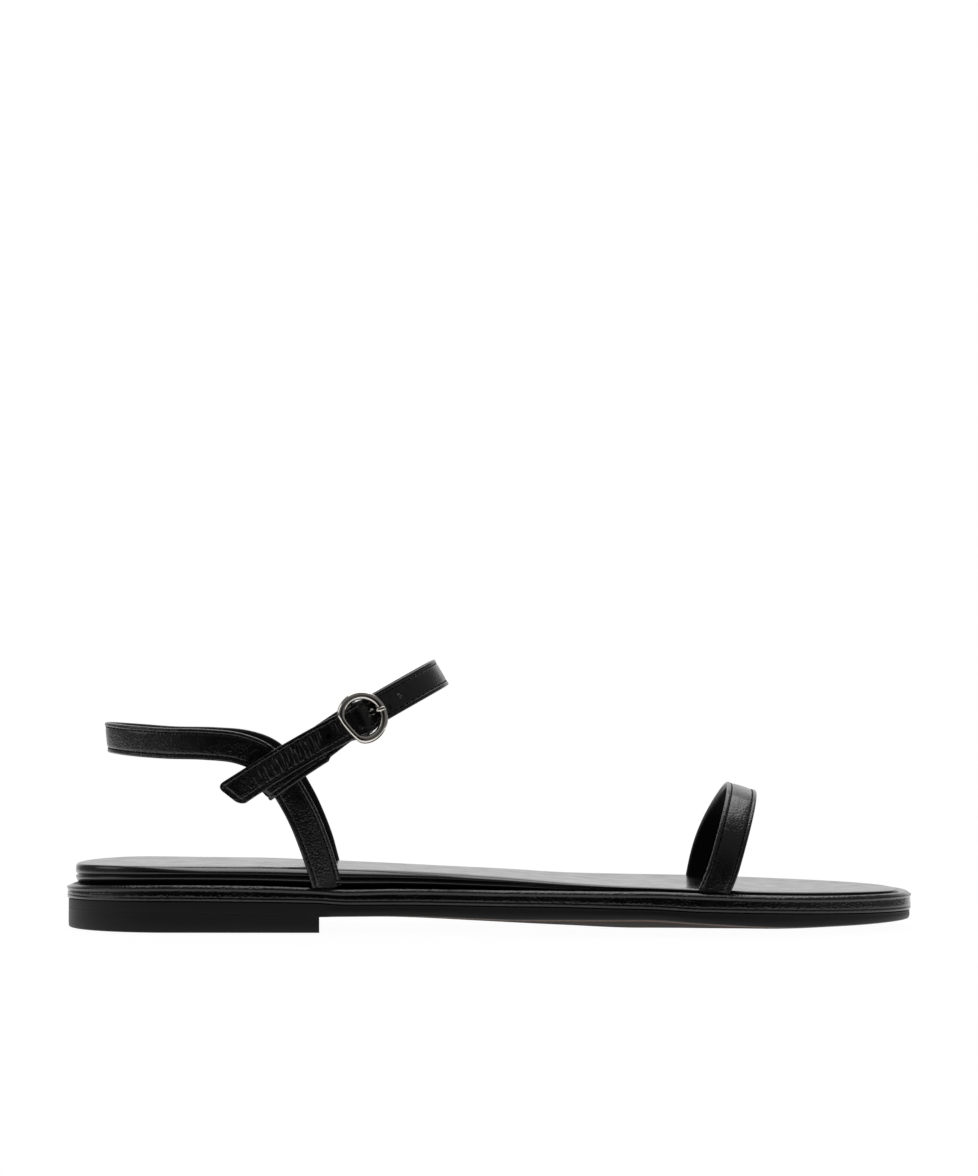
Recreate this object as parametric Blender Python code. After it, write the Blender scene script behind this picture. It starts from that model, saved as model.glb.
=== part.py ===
"""Flat right-foot sandal: heel, outsole, rimmed midsole, padded footbed, leather straps and a buckle.

Sizes are in millimetres. Stations run from the back of the heel (0) to the toe (LENGTH). Y is negative on
the outer side of the foot and positive on the inner side. Objects are placed in metres, toe towards +X,
with the origin on the floor under the middle of the sole.
"""
from math import cos, pi, radians, sin

import bmesh
import bpy
import numpy as np

# One millimetre in metres, the distance at which section ends that meet are joined, and the sharpest
# edge that is still shaded smooth
MM = 0.001
MERGE = 1e-7
SHARP_ANGLE = radians(35.0)

# Driving sizes of the sole
LENGTH = 254.0
GAP = 0.3
HEEL_ROUND = 32.0
TOE_ROUND = 70.0
TOE_POWER = 2.1
HEEL_FRONT = 75.5
HEEL_SKEW = -0.036
RIM_AT_HEEL = 2.6
RIM_AT_TOE = 4.2
TRAY_DEPTH = 1.3
SOLE_ROWS = 36
HEEL_ROWS = 14
HEEL_ACROSS = 4
OUTSOLE_ACROSS = 8
MIDSOLE_ACROSS = 6
PAD_ACROSS = 8
TREAD_FACING = -0.7
TANGENT_TURN = 1e-3

# Plan of the sole
PLAN_COLUMNS = ("station", "middle", "half")
PLAN = (
    (0.0, 0.0, 31.0),
    (38.0, -0.2, 31.0),
    (75.0, -1.4, 30.2),
    (105.0, -2.0, 29.2),
    (140.0, -1.5, 35.6),
    (170.0, -0.6, 42.2),
    (190.0, 0.0, 43.0),
    (215.0, 1.0, 43.0),
    (254.0, 5.5, 43.0),
)

# Heights along the middle of the sole, and how far the outer and inner edges rise above the middle
SIDE_COLUMNS = ("station", "bottom", "bottom_outer", "bottom_inner", "seam", "rim", "pad", "outer", "inner")
SIDE = (
    (0.0, 6.0, 0.0, 0.0, 8.5, 12.7, 19.2, 0.5, 0.5),
    (30.0, 5.8, 0.0, 0.0, 8.8, 13.7, 19.3, 0.6, 0.5),
    (55.0, 5.2, 0.0, 0.0, 8.6, 13.5, 19.2, 0.6, 0.5),
    (76.0, 4.6, 0.1, 0.0, 8.0, 12.6, 18.6, 0.9, 0.5),
    (84.0, 4.3, 0.45, 0.2, 7.3, 11.95, 18.3, 1.1, 0.5),
    (100.0, 3.6, 1.3, 0.6, 6.8, 11.7, 17.6, 1.6, 0.5),
    (130.0, 2.0, 2.2, 1.0, 6.2, 11.1, 15.8, 2.0, 0.6),
    (150.0, 0.9, 3.5, 1.8, 6.0, 10.9, 14.1, 2.2, 0.8),
    (172.0, 0.0, 4.7, 2.8, 5.7, 10.9, 12.8, 2.2, 1.2),
    (190.0, 0.0, 3.5, 2.6, 5.2, 10.7, 12.3, 1.8, 1.3),
    (210.0, 0.0, 2.2, 1.9, 5.1, 10.4, 11.8, 1.3, 1.1),
    (232.0, 0.8, 1.2, 1.0, 4.9, 10.2, 11.5, 0.8, 0.7),
    (254.0, 2.1, 0.2, 0.2, 4.8, 10.4, 11.3, 0.2, 0.2),
)
# Dish of the layers and crown of the tread: place of the flat middle and its half breadth, as parts of
# the half breadth of the sole
DISH_PLACE = 0.0
DISH_FLAT = 0.2
TREAD_PLACE = 0.24
TREAD_FLAT = 0.28

# Side profiles from the bottom edge round to the top edge: line, inset from it, level, height above the
# level. The edge line is the outline of the sole, the pad line runs inside the rim. Heights of the pad are
# parts of its thickness.
HEEL_PROFILE = (
    ("edge", 1.4, "floor", 0.0),
    ("edge", 0.8, "floor", 0.3),
    ("edge", 0.5, "floor", 1.0),
    ("edge", 0.5, "heel_top", -0.5),
    ("edge", 0.8, "heel_top", 0.0),
)
OUTSOLE_PROFILE = (
    ("edge", 2.4, "bottom", 0.0),
    ("edge", 0.9, "bottom", 0.25),
    ("edge", 0.5, "bottom", 0.9),
    ("edge", 0.5, "seam", -0.7),
    ("edge", 1.1, "seam", -0.15),
)
MIDSOLE_PROFILE = (
    ("edge", 1.4, "seam", 0.15),
    ("edge", 0.35, "seam", 0.35),
    ("edge", 0.05, "seam", 0.9),
    ("edge", 0.25, "seam", 1.6),
    ("edge", 0.1, "rim", -1.9),
    ("edge", 0.0, "rim", -1.0),
    ("edge", 0.45, "rim", -0.25),
    ("edge", 1.2, "rim", 0.0),
    ("pad", -0.75, "rim", -0.25),
    ("pad", -0.3, "rim", -TRAY_DEPTH),
)
PAD_PROFILE = (
    ("pad", 1.5, "pad", 0.0),
    ("pad", 0.3, "pad", 0.07),
    ("pad", 0.0, "pad", 0.3),
    ("pad", 0.9, "pad", 0.57),
    ("pad", 0.15, "pad", 0.69),
    ("pad", 0.9, "pad", 0.85),
    ("pad", 3.6, "pad", 1.0),
)
CREASE = 0.57
CREASE_ENDS = (115.0, 155.0)

# Strap leather
STRAP_CORNER = 0.45
HEEL_STRAP_WIDTH = 9.2
HEEL_STRAP_THICK = 2.0
HEEL_STRAP_STATIONS = 49
TOE_STRAP_WIDTH = 9.2
TOE_STRAP_THICK = 2.0
TOE_STRAP_STATIONS = 31
ANKLE_STRAP_WIDTH = 8.8
ANKLE_STRAP_THICK = 1.7
ANKLE_STRAP_STATIONS = 76
TAB_THICK = 1.0
SLOT_STATIONS = 4
SLOT_DEPTH = 14.0

# Heel strap: middle of the band from the sole, up the quarter and back to the heel
HEEL_STRAP_COLUMNS = ("outer_station", "inner_station", "outer", "inner", "outer_height", "inner_height")
HEEL_STRAP = (
    (79.2, 78.8, 28.2, 25.0, 12.4, 12.4),
    (75.8, 75.1, 29.2, 27.3, 24.0, 24.0),
    (71.5, 70.5, 30.0, 28.5, 35.0, 34.8),
    (67.5, 66.7, 30.0, 28.5, 42.2, 41.8),
    (63.8, 63.4, 30.0, 28.5, 47.7, 47.1),
    (59.2, 59.0, 30.0, 28.5, 52.0, 51.0),
    (52.4, 52.4, 29.8, 28.3, 54.7, 53.3),
    (43.0, 43.0, 28.6, 27.2, 55.7, 54.2),
    (31.0, 31.0, 24.6, 23.6, 55.9, 54.6),
    (20.0, 20.0, 17.0, 16.5, 56.4, 55.7),
    (12.7, 12.7, 0.0, 0.0, 56.8, 56.8),
)
HEEL_STRAP_LEAN = 0.1

# Toe strap: a leaning arch
TOE_STRAP_STATION = 193.4
TOE_STRAP_FOOT = 11.3
TOE_STRAP_LEAN = radians(17.0)
TOE_ARCH_HEIGHT = 31.2
TOE_ARCH_POWER = 2.25
TOE_SKEW = 2.3
TOE_BOW = 1.2

# Ankle strap: a loop in one tilted plane, measured along the plane from the buckle
ANKLE_TILT = radians(30.4)
ANKLE_ALONG = np.array([cos(ANKLE_TILT), 0.0, sin(ANKLE_TILT)])
ANKLE_OVER = np.array([-sin(ANKLE_TILT), 0.0, cos(ANKLE_TILT)])
BUCKLE_STATION = 88.8
BUCKLE_HEIGHT = 63.4
ANKLE_OUTER = 33.45
ANKLE_INNER = 30.65
ANKLE_TIP = -45.0
ANKLE_FRONT = 26.3
ANKLE_CURVE = 40.0
ANKLE_BOW_TIP = 0.7
ANKLE_BOW_FRONT = -0.75
TIP_RADIUS = 2.2
TIP_STATIONS = 4
TIP_SHEAR = 0.4
TIP_SHEAR_LENGTH = 7.0
FOLD_AT = -36.6
FOLD_RADIUS = 2.15
LAP_BEND = (-22.5, -16.0)
LAP_END = -13.2
LAP_SHIFT = 2.2
HUMP_HEIGHT = 2.0
HUMP_LENGTH = 3.0

# Buckle tab: a folded belt round the quarter of the heel strap and the bar of the buckle
TAB_COLUMNS = ("distance", "low", "high")
TAB_EDGES = (
    (-40.0, -8.1, 2.2),
    (-14.6, -6.7, 4.1),
    (-13.6, -5.9, 4.3),
    (-5.5, -4.6, 5.1),
    (-2.5, -5.3, 5.3),
    (3.0, -5.3, 5.3),
)
TAB_NECK = (TAB_EDGES[1][0], TAB_EDGES[2][0])
TAB_SHEAR = 0.22
TAB_FRONT = -1.65
TAB_BACK = -5.25
TAB_FOLD = -34.4
TAB_RISE = (-23.5, -15.0)
TAB_EYE_END = -3.5

# Buckle: a ring with one flat side, a dropped bar across its middle and a prong
RING_RADIUS = 6.55
RING_FLAT = 4.45
RING_FLAT_TURN = radians(6.0)
RING_CORNER_POWER = 8.0
RING_LEVEL = 2.4
RING_WIRE = 1.2
FLAT_WIRE = 0.85
FLAT_BLEND = 0.8
RING_STATIONS = 36
BAR_LEVEL = -1.5
BAR_WIRE = 0.7
BAR_SIDE = ((5.1, BAR_LEVEL), (5.7, BAR_LEVEL), (6.25, -1.2), (6.5, -0.2), (RING_RADIUS, RING_LEVEL))
BAR_STATIONS = 27
BAR_CLEAR = 0.2
PRONG_WIRE = 0.65
PRONG_STATIONS = 22
PRONG_SLOT_HALF = 1.15
PRONG_SLOT_BOX = ((-2.7, 3.0), (-4.6, 1.0))
PRONG_HOOK_END = 1.75 * pi
PRONG_ROUTE = (
    (2.2, 0.0, -1.65),
    (3.0, 0.0, -1.2),
    (3.55, 0.0, -0.3),
    (3.95, -0.1, 0.9),
    (4.4, -0.2, 2.4),
    (5.1, -0.4, 3.95),
    (6.5, -0.75, 4.55),
    (7.8, -1.1, 4.35),
)
PRONG_HOLE_AT = 3.9
PRONG_HOLE = 1.5
SPARE_HOLE = 0.8
SPARE_HOLES_AT = (-10.8, 14.5)
HOLE_SIDES = 14
HOLE_REACH = (-2.5, 4.5)
WIRE_SIDES = 8

# Points on a finely divided path, the reach over which its direction is taken, and the points on the
# arcs, bends and straight runs of the tab and the prong
FINE = 120
REACH = 0.5
ARC_POINTS = 9
BEND_POINTS = 6
STRAIGHT_POINTS = 5

# Finishes: red, green, blue, roughness, metallic
FINISHES = {
    "heel_black": (0.018, 0.018, 0.019, 0.45, 0.0),
    "sole_black": (0.016, 0.016, 0.017, 0.45, 0.0),
    "sole_tan": (0.33, 0.20, 0.11, 0.60, 0.0),
    "rim_leather": (0.010, 0.010, 0.011, 0.35, 0.0),
    "pad_leather": (0.012, 0.012, 0.013, 0.30, 0.0),
    "strap_leather": (0.010, 0.010, 0.011, 0.38, 0.0),
    "buckle_metal": (0.72, 0.71, 0.69, 0.18, 1.0),
}


def smooth(xs, ys, x):
    """Read a table at x along a smooth curve that doesn't overshoot its rows."""
    step = np.diff(xs)
    rise = np.diff(ys) / step
    slope = np.zeros(len(xs))
    for k in range(1, len(xs) - 1):
        if rise[k - 1] * rise[k] > 0:
            slope[k] = 2 * rise[k - 1] * rise[k] / (rise[k - 1] + rise[k])
    slope[0] = rise[0]
    slope[-1] = rise[-1]
    x = np.clip(x, xs[0], xs[-1])
    k = np.clip(np.searchsorted(xs, x, side="right") - 1, 0, len(xs) - 2)
    t = (x - xs[k]) / step[k]
    blend = ys[k] + t * t * (3 - 2 * t) * (ys[k + 1] - ys[k])
    return blend + step[k] * t * (1 - t) * ((1 - t) * slope[k] - t * slope[k + 1])


def column(rows, columns, name, x):
    """One named column of a section table, at station x."""
    table = np.array(rows)
    return smooth(table[:, 0], table[:, columns.index(name)], x)


def side(name, x):
    return column(SIDE, SIDE_COLUMNS, name, x)


def middle(x):
    return column(PLAN, PLAN_COLUMNS, "middle", x)


def half_breadth(x):
    """Half of the sole's breadth, with a round heel and a round toe."""
    heel = np.clip((HEEL_ROUND - x) / HEEL_ROUND, 0, 1)
    toe = np.clip((x - LENGTH + TOE_ROUND) / TOE_ROUND, 0, 1)
    ends = np.sqrt(1 - heel**2) * (1 - toe**TOE_POWER) ** (1 / TOE_POWER)
    return column(PLAN, PLAN_COLUMNS, "half", x) * ends


def rim_width(x):
    return RIM_AT_HEEL + (RIM_AT_TOE - RIM_AT_HEEL) * x / LENGTH


def station_angle(x):
    return np.arccos(1 - 2 * x / LENGTH)


def outline(angle):
    """Point on the edge of the sole: angle 0 at the heel, pi at the toe, outer side positive."""
    angle = (angle + pi) % (2 * pi) - pi
    x = LENGTH / 2 * (1 - cos(angle))
    return np.array([x, middle(x) - np.sign(angle) * half_breadth(x)])


def inset_point(angle, inset):
    """Point that lies a distance inside the edge of the sole."""
    turn = TANGENT_TURN
    tangent = outline(angle + turn) - outline(angle - turn)
    tangent = tangent / np.hypot(*tangent)
    return outline(angle) + inset * np.array([-tangent[1], tangent[0]])


def crown(x, y, outer, inner, place, flat):
    """Rise of a dished or crowned layer: none in its flat middle, full at its edges."""
    across = (y - middle(x)) / max(half_breadth(x), 1.0) - place
    reach = 1 + place if across < 0 else 1 - place
    part = max((abs(across) - flat) / (reach - flat), 0.0)
    return (outer if across < 0 else inner) * min(part, 1.0) ** 2


def level(name, x, y, above):
    """Height above a named level of the sole."""
    if name == "floor":
        return above
    if name in ("bottom", "heel_top"):
        rise = crown(x, y, side("bottom_outer", x), side("bottom_inner", x), TREAD_PLACE, TREAD_FLAT)
        drop = GAP if name == "heel_top" else 0.0
        return side("bottom", x) + rise - drop + above
    dish = crown(x, y, side("outer", x), side("inner", x), DISH_PLACE, DISH_FLAT)
    if name == "pad":
        tray = side("rim", x) - TRAY_DEPTH + GAP
        return tray + dish + above * (side("pad", x) - tray)
    return side(name, x) + dish + above


def ease(t):
    t = np.clip(t, 0, 1)
    return t * t * (3 - 2 * t)


def crease_depth(x):
    """The crease round the footbed is full at the heel and runs out behind the ball."""
    return 1 - ease((x - CREASE_ENDS[0]) / (CREASE_ENDS[1] - CREASE_ENDS[0]))


def profile_point(angle, row):
    """One point of a side profile at an angle round the sole."""
    line, inset, name, above = row
    x = outline(angle)[0]
    if name == "pad" and above == CREASE:
        inset = inset * crease_depth(x)
    if line == "pad":
        inset = inset + rim_width(x)
    px, py = inset_point(angle, inset)
    return np.array([px, py, level(name, px, py, above)])


def across_points(start, end, row, count):
    """Points across a layer between its two edges, at its own level."""
    points = []
    for t in np.linspace(0, 1, count + 1):
        x, y = (1 - t) * start[:2] + t * end[:2]
        points.append(np.array([x, y, level(row[2], x, y, row[3])]))
    return points


def sole_section(angle, profile, across):
    """Closed section loop across a layer of the sole."""
    outer = [profile_point(angle, row) for row in profile]
    inner = [profile_point(-angle, row) for row in profile]
    under = across_points(inner[0], outer[0], profile[0], across)
    over = across_points(outer[-1], inner[-1], profile[-1], across)
    return np.array(under + outer[1:-1] + over + inner[-2:0:-1])


def along(points, distances):
    """Points at given distances along a finely divided path."""
    steps = np.linalg.norm(np.diff(points, axis=0), axis=1)
    length = np.concatenate([[0.0], np.cumsum(steps)])
    return np.array([np.interp(distances, length, points[:, axis]) for axis in range(points.shape[1])]).T


def path_length(points):
    return np.linalg.norm(np.diff(points, axis=0), axis=1).sum()


def even(points, count):
    return along(points, np.linspace(0, path_length(points), count))


def curve_through(points, fineness=24):
    """Finely divided smooth curve through route points, with no overshoot between them."""
    points = np.array(points, float)
    ends = np.vstack([2 * points[0] - points[1], points, 2 * points[-1] - points[-2]])
    knots = np.concatenate([[0.0], np.cumsum(np.sqrt(np.linalg.norm(np.diff(ends, axis=0), axis=1)))])
    curve = []
    for k in range(1, len(ends) - 2):
        t0, t1, t2, t3 = knots[k - 1:k + 3]
        for t in np.linspace(t1, t2, fineness, endpoint=False):
            a = ((t1 - t) * ends[k - 1] + (t - t0) * ends[k]) / (t1 - t0)
            b = ((t2 - t) * ends[k] + (t - t1) * ends[k + 1]) / (t2 - t1)
            c = ((t3 - t) * ends[k + 1] + (t - t2) * ends[k + 2]) / (t3 - t2)
            d = ((t2 - t) * a + (t - t0) * b) / (t2 - t0)
            e = ((t3 - t) * b + (t - t1) * c) / (t3 - t1)
            curve.append(((t2 - t) * d + (t - t1) * e) / (t2 - t1))
    return np.vstack(curve + [points[-1]])


def unit(vectors):
    return vectors / np.linalg.norm(vectors, axis=-1, keepdims=True)


def tangents(points, closed=False):
    if closed:
        return unit(np.roll(points, -1, axis=0) - np.roll(points, 1, axis=0))
    return unit(np.gradient(points, axis=0))


def band_rings(centres, across, half_widths, thick, closed=False):
    """Sections of a leather band with eased corners. The band's face is square to its path."""
    faces = unit(np.cross(tangents(centres, closed), across))
    half = thick / 2
    rings = []
    for centre, over, face, wide in zip(centres, across, faces, half_widths):
        corners = (
            (wide, half - STRAP_CORNER), (wide - STRAP_CORNER, half),
            (STRAP_CORNER - wide, half), (-wide, half - STRAP_CORNER),
            (-wide, STRAP_CORNER - half), (STRAP_CORNER - wide, -half),
            (wide - STRAP_CORNER, -half), (wide, STRAP_CORNER - half),
        )
        rings.append([centre + a * over + b * face for a, b in corners])
    return np.array(rings)


def wire_rings(centres, across, radius, closed=False):
    """Sections of a round wire whose path lies square to one direction. Its radius may change along it."""
    faces = unit(np.cross(tangents(centres, closed), across))
    radii = np.broadcast_to(radius, len(centres))
    turns = np.linspace(0, 2 * pi, WIRE_SIDES, endpoint=False)
    rings = []
    for centre, over, face, thick in zip(centres, across, faces, radii):
        rings.append([centre + thick * (cos(a) * over + sin(a) * face) for a in turns])
    return np.array(rings)


def skin_mesh(name, rings, closed=False, capped=(True, True)):
    """Mesh from section loops that follow each other, with its ends capped or meeting."""
    shells = rings if isinstance(rings, list) else [rings]
    body = bmesh.new()
    for shell in shells:
        loops = [[body.verts.new(place(point)) for point in ring] for ring in shell]
        pairs = list(zip(loops, loops[1:]))
        if closed:
            pairs.append((loops[-1], loops[0]))
        else:
            for end, wanted in zip((loops[0], loops[-1]), capped):
                if wanted:
                    body.faces.new(end)
        for one, two in pairs:
            for k in range(len(one)):
                n = (k + 1) % len(one)
                body.faces.new((one[k], one[n], two[n], two[k]))
    bmesh.ops.remove_doubles(body, verts=body.verts, dist=MERGE)
    bmesh.ops.recalc_face_normals(body, faces=body.faces)
    mesh = bpy.data.meshes.new(name)
    body.to_mesh(mesh)
    body.free()
    return mesh


def add_object(name, mesh, finish):
    """Object with its own finish, shaded smooth apart from its sharp edges."""
    mesh.shade_smooth()
    mesh.set_sharp_from_angle(angle=SHARP_ANGLE)
    mesh.materials.append(MATERIALS[finish])
    shape = bpy.data.objects.new(name, mesh)
    bpy.context.collection.objects.link(shape)
    return shape


def add_cutter(name, mesh):
    """Guide shape for a cut, which isn't a piece of the sandal."""
    cutter = bpy.data.objects.new(name, mesh)
    bpy.context.collection.objects.link(cutter)
    cutter.hide_render = True
    cutter.display_type = "WIRE"
    return cutter


def add_boolean(shape, other, operation):
    modifier = shape.modifiers.new(f"{operation.lower()}_{other.name}", "BOOLEAN")
    modifier.operation = operation
    modifier.solver = "EXACT"
    modifier.object = other


def add_material(name, finish):
    red, green, blue, roughness, metallic = finish
    material = bpy.data.materials.new(name)
    material.use_nodes = True
    shader = material.node_tree.nodes["Principled BSDF"]
    shader.inputs["Base Color"].default_value = (red, green, blue, 1.0)
    shader.inputs["Roughness"].default_value = roughness
    shader.inputs["Metallic"].default_value = metallic
    return material


def place(point):
    """Millimetres along the sole to metres about the origin."""
    return ((point[0] - LENGTH / 2) * MM, (point[1] - PLAN_CENTRE) * MM, point[2] * MM)


def heel_strap_path():
    """Route of the heel strap, from its outer slot round the heel to its inner slot."""
    rows = [dict(zip(HEEL_STRAP_COLUMNS, row)) for row in HEEL_STRAP]
    outer = [(row["outer_station"], -row["outer"], row["outer_height"]) for row in rows]
    inner = [(row["inner_station"], row["inner"], row["inner_height"]) for row in rows[-2::-1]]
    return curve_through(outer + inner)


def heel_strap_rings(distances, spare=0.0):
    """Sections of the heel strap: it stands like a wall on its plan and leans out at the back."""
    centres = along(heel_strap_path(), distances)
    run = tangents(centres)
    inward = unit(np.stack([run[:, 1], -run[:, 0], np.zeros(len(run))], axis=1))
    inward[:, 2] = HEEL_STRAP_LEAN * np.maximum(inward[:, 0], 0.0)
    across = unit(np.cross(run, inward))
    half_widths = np.full(len(centres), HEEL_STRAP_WIDTH / 2 + spare)
    return band_rings(centres, across, half_widths, HEEL_STRAP_THICK + 2 * spare)


def toe_strap_path():
    """Route of the toe strap: an arch that leans forward, with its inner leg set and bowed back."""
    station = TOE_STRAP_STATION
    outer = half_breadth(station) - middle(station) - rim_width(station)
    inner = half_breadth(station) + middle(station) - rim_width(station)
    turn = np.linspace(0, pi, 2 * FINE + 1)
    y = -np.sign(np.cos(turn)) * np.abs(np.cos(turn)) ** (2 / TOE_ARCH_POWER)
    y = np.where(y < 0, outer, inner) * y
    up = TOE_ARCH_HEIGHT * np.sin(turn) ** (2 / TOE_ARCH_POWER)
    inward = np.maximum(y, 0.0) / inner
    back = TOE_SKEW * inward**2 + TOE_BOW * inward * np.sin(pi * up / TOE_ARCH_HEIGHT)
    x = station + up * sin(TOE_STRAP_LEAN) - back
    z = TOE_STRAP_FOOT + up * cos(TOE_STRAP_LEAN)
    return np.stack([x, y, z], axis=1)


def toe_strap_rings(distances, spare=0.0):
    centres = along(toe_strap_path(), distances)
    across = np.tile([cos(TOE_STRAP_LEAN), 0.0, -sin(TOE_STRAP_LEAN)], (len(centres), 1))
    half_widths = np.full(len(centres), TOE_STRAP_WIDTH / 2 + spare)
    return band_rings(centres, across, half_widths, TOE_STRAP_THICK + 2 * spare)


def foot_slots(rings, path):
    """Cutters for the two slots that hold the feet of a strap."""
    length = path_length(path)
    return [rings(np.linspace(start, end, SLOT_STATIONS), GAP)
            for start, end in ((0.0, SLOT_DEPTH), (length - SLOT_DEPTH, length))]


def strap_distances(path, count):
    """Stations of a strap, which stops a gap short of the bottom of its slots."""
    return np.linspace(GAP, path_length(path) - GAP, count)


def ankle_plan():
    """Ankle strap in its plane: from the free tip past the buckle and the front to the fold and its lap."""
    start = ANKLE_FRONT - ANKLE_CURVE
    turn = np.linspace(0, pi / 2, FINE)
    tip = [(s, -ANKLE_OUTER) for s in np.linspace(ANKLE_TIP, start, FINE, endpoint=False)]
    outer = [(start + ANKLE_CURVE * sin(a), -ANKLE_OUTER * cos(a)) for a in turn]
    inner = [(start + ANKLE_CURVE * sin(a), ANKLE_INNER * cos(a)) for a in turn[-2::-1]]
    back = [(s, ANKLE_INNER) for s in np.linspace(start, FOLD_AT, FINE)[1:]]
    fold_middle = ANKLE_INNER - FOLD_RADIUS
    fold = [(FOLD_AT - FOLD_RADIUS * sin(a), fold_middle + FOLD_RADIUS * cos(a)) for a in 2 * turn[1:]]
    lap = []
    for s in np.linspace(FOLD_AT, LAP_END, FINE)[1:]:
        shift = LAP_SHIFT * ease((s - LAP_BEND[0]) / (LAP_BEND[1] - LAP_BEND[0]))
        lap.append((s, fold_middle - FOLD_RADIUS + shift))
    return np.array(tip + outer + inner + back + fold + lap)


def ankle_path():
    """Middle of the ankle strap without its hump, with the distance of each point from the buckle."""
    s, y = ankle_plan().T
    tip_bow = ANKLE_BOW_TIP * np.sin(pi * np.clip(s / ANKLE_TIP, 0, 1))
    bow = np.where(s < 0, tip_bow, ANKLE_BOW_FRONT * (s / ANKLE_FRONT) ** 2)
    bow = np.where(y < 0, bow, ANKLE_BOW_FRONT)
    origin = np.array([BUCKLE_STATION, 0.0, BUCKLE_HEIGHT])
    points = origin + np.outer(s, ANKLE_ALONG) + np.outer(bow, ANKLE_OVER) + np.outer(y, (0.0, 1.0, 0.0))
    steps = np.linalg.norm(np.diff(points, axis=0), axis=1)
    length = np.concatenate([[0.0], np.cumsum(steps)])
    outer = y < 0
    return points, length - np.interp(0.0, s[outer], length[outer])


def ankle_frame(distance):
    """Point on the ankle strap's middle, with its directions along the strap and out of it."""
    points, from_buckle = ankle_path()
    spots = np.array([distance - REACH, distance, distance + REACH])
    before, spot, after = np.array([np.interp(spots, from_buckle, points[:, axis]) for axis in range(3)]).T
    run = unit(after - before)
    return spot, run, unit(np.cross(run, ANKLE_OVER))


def ankle_strap_rings():
    """Sections of the ankle strap, humped over the buckle's bar and rounded at its tip."""
    points, from_buckle = ankle_path()
    out = unit(np.cross(tangents(points), ANKLE_OVER))
    hump = HUMP_HEIGHT * np.exp(-(from_buckle / HUMP_LENGTH) ** 2)
    points = points + hump[:, None] * out
    corner = TIP_RADIUS * (1 - np.cos(np.linspace(0, pi / 2, TIP_STATIONS)))
    rest = np.linspace(TIP_RADIUS, path_length(points), ANKLE_STRAP_STATIONS)[1:]
    distances = np.concatenate([corner, rest])
    short = TIP_RADIUS - np.minimum(distances, TIP_RADIUS)
    half_widths = ANKLE_STRAP_WIDTH / 2 - TIP_RADIUS + np.sqrt(TIP_RADIUS**2 - short**2)
    centres = along(points, distances)
    slant = TIP_SHEAR * ease(1 - distances / TIP_SHEAR_LENGTH)
    across = ANKLE_OVER - slant[:, None] * ANKLE_ALONG
    return band_rings(centres, across, half_widths, ANKLE_STRAP_THICK)


def strap_hole(distance, radius):
    """Cutter for one hole through the ankle strap."""
    spot, run, out = ankle_frame(distance)
    over = np.cross(out, run)
    turns = np.linspace(0, 2 * pi, HOLE_SIDES, endpoint=False)
    circle = [radius * (cos(a) * run + sin(a) * over) for a in turns]
    return np.array([[spot + step + depth * out for step in circle] for depth in HOLE_REACH])


def tab_plan():
    """Closed route of the tab: distance from the buckle and height off the ankle strap's middle."""
    eye = BAR_WIRE + BAR_CLEAR + TAB_THICK / 2
    top = BAR_LEVEL + eye
    pinch = BAR_LEVEL - eye
    fold = (TAB_FRONT - TAB_BACK) / 2
    route = [(eye * sin(a), BAR_LEVEL - eye * cos(a)) for a in np.linspace(0, pi, ARC_POINTS)]
    bend = np.linspace(0, 1, BEND_POINTS)
    route += [(TAB_EYE_END * t, top + (TAB_FRONT - top) * ease(t)) for t in bend[1:]]
    route += [(d, TAB_FRONT) for d in np.linspace(TAB_EYE_END, TAB_NECK[1], STRAIGHT_POINTS)[1:]]
    route += [(d, TAB_FRONT) for d in np.linspace(TAB_NECK[0], TAB_FOLD, STRAIGHT_POINTS)]
    arc = np.linspace(0, pi, ARC_POINTS)
    route += [(TAB_FOLD - fold * sin(a), TAB_FRONT - fold + fold * cos(a)) for a in arc[1:]]
    route += [(d, TAB_BACK) for d in np.linspace(TAB_FOLD, TAB_RISE[0], STRAIGHT_POINTS)[1:-1]]
    for t in bend:
        d = TAB_RISE[0] + (TAB_RISE[1] - TAB_RISE[0]) * t
        route.append((d, TAB_BACK + (pinch - TAB_BACK) * ease(t)))
    route += [(d, pinch) for d in np.linspace(TAB_NECK[1], 0.0, STRAIGHT_POINTS)[:-1]]
    return route


def tab_rings():
    """Sections of the buckle tab. Its wide part slants down with the quarter, its neck fits the buckle."""
    edges = np.array(TAB_EDGES)
    centres = []
    across = []
    half_widths = []
    for distance, height in tab_plan():
        spot, run, out = ankle_frame(distance)
        low = np.interp(distance, edges[:, 0], edges[:, TAB_COLUMNS.index("low")])
        high = np.interp(distance, edges[:, 0], edges[:, TAB_COLUMNS.index("high")])
        centres.append(spot + height * out + (low + high) / 2 * ANKLE_OVER)
        shear = TAB_SHEAR * np.clip((TAB_NECK[0] - distance) / -TAB_NECK[0], 0, 1)
        across.append(ANKLE_OVER - shear * ANKLE_ALONG)
        half_widths.append((high - low) / 2)
    return band_rings(np.array(centres), np.array(across), half_widths, TAB_THICK, closed=True)


def in_buckle(points):
    """Points given along the strap, across it and out of it, about the buckle."""
    spot, run, out = ankle_frame(0.0)
    return spot + np.array(points) @ np.stack([run, np.cross(out, run), out])


def buckle_direction(index):
    """Unit direction of the buckle: 0 along the strap, 1 across it, 2 out of it."""
    ends = np.zeros((2, 3))
    ends[1, index] = 1.0
    start, end = in_buckle(ends)
    return end - start


def prong_slot():
    """Cutter that parts the eye of the tab for the prong."""
    loops = []
    for across in (-PRONG_SLOT_HALF, PRONG_SLOT_HALF):
        (d0, d1), (n0, n1) = PRONG_SLOT_BOX
        loops.append(in_buckle([(d0, across, n0), (d1, across, n0), (d1, across, n1), (d0, across, n1)]))
    return np.array(loops)


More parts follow.
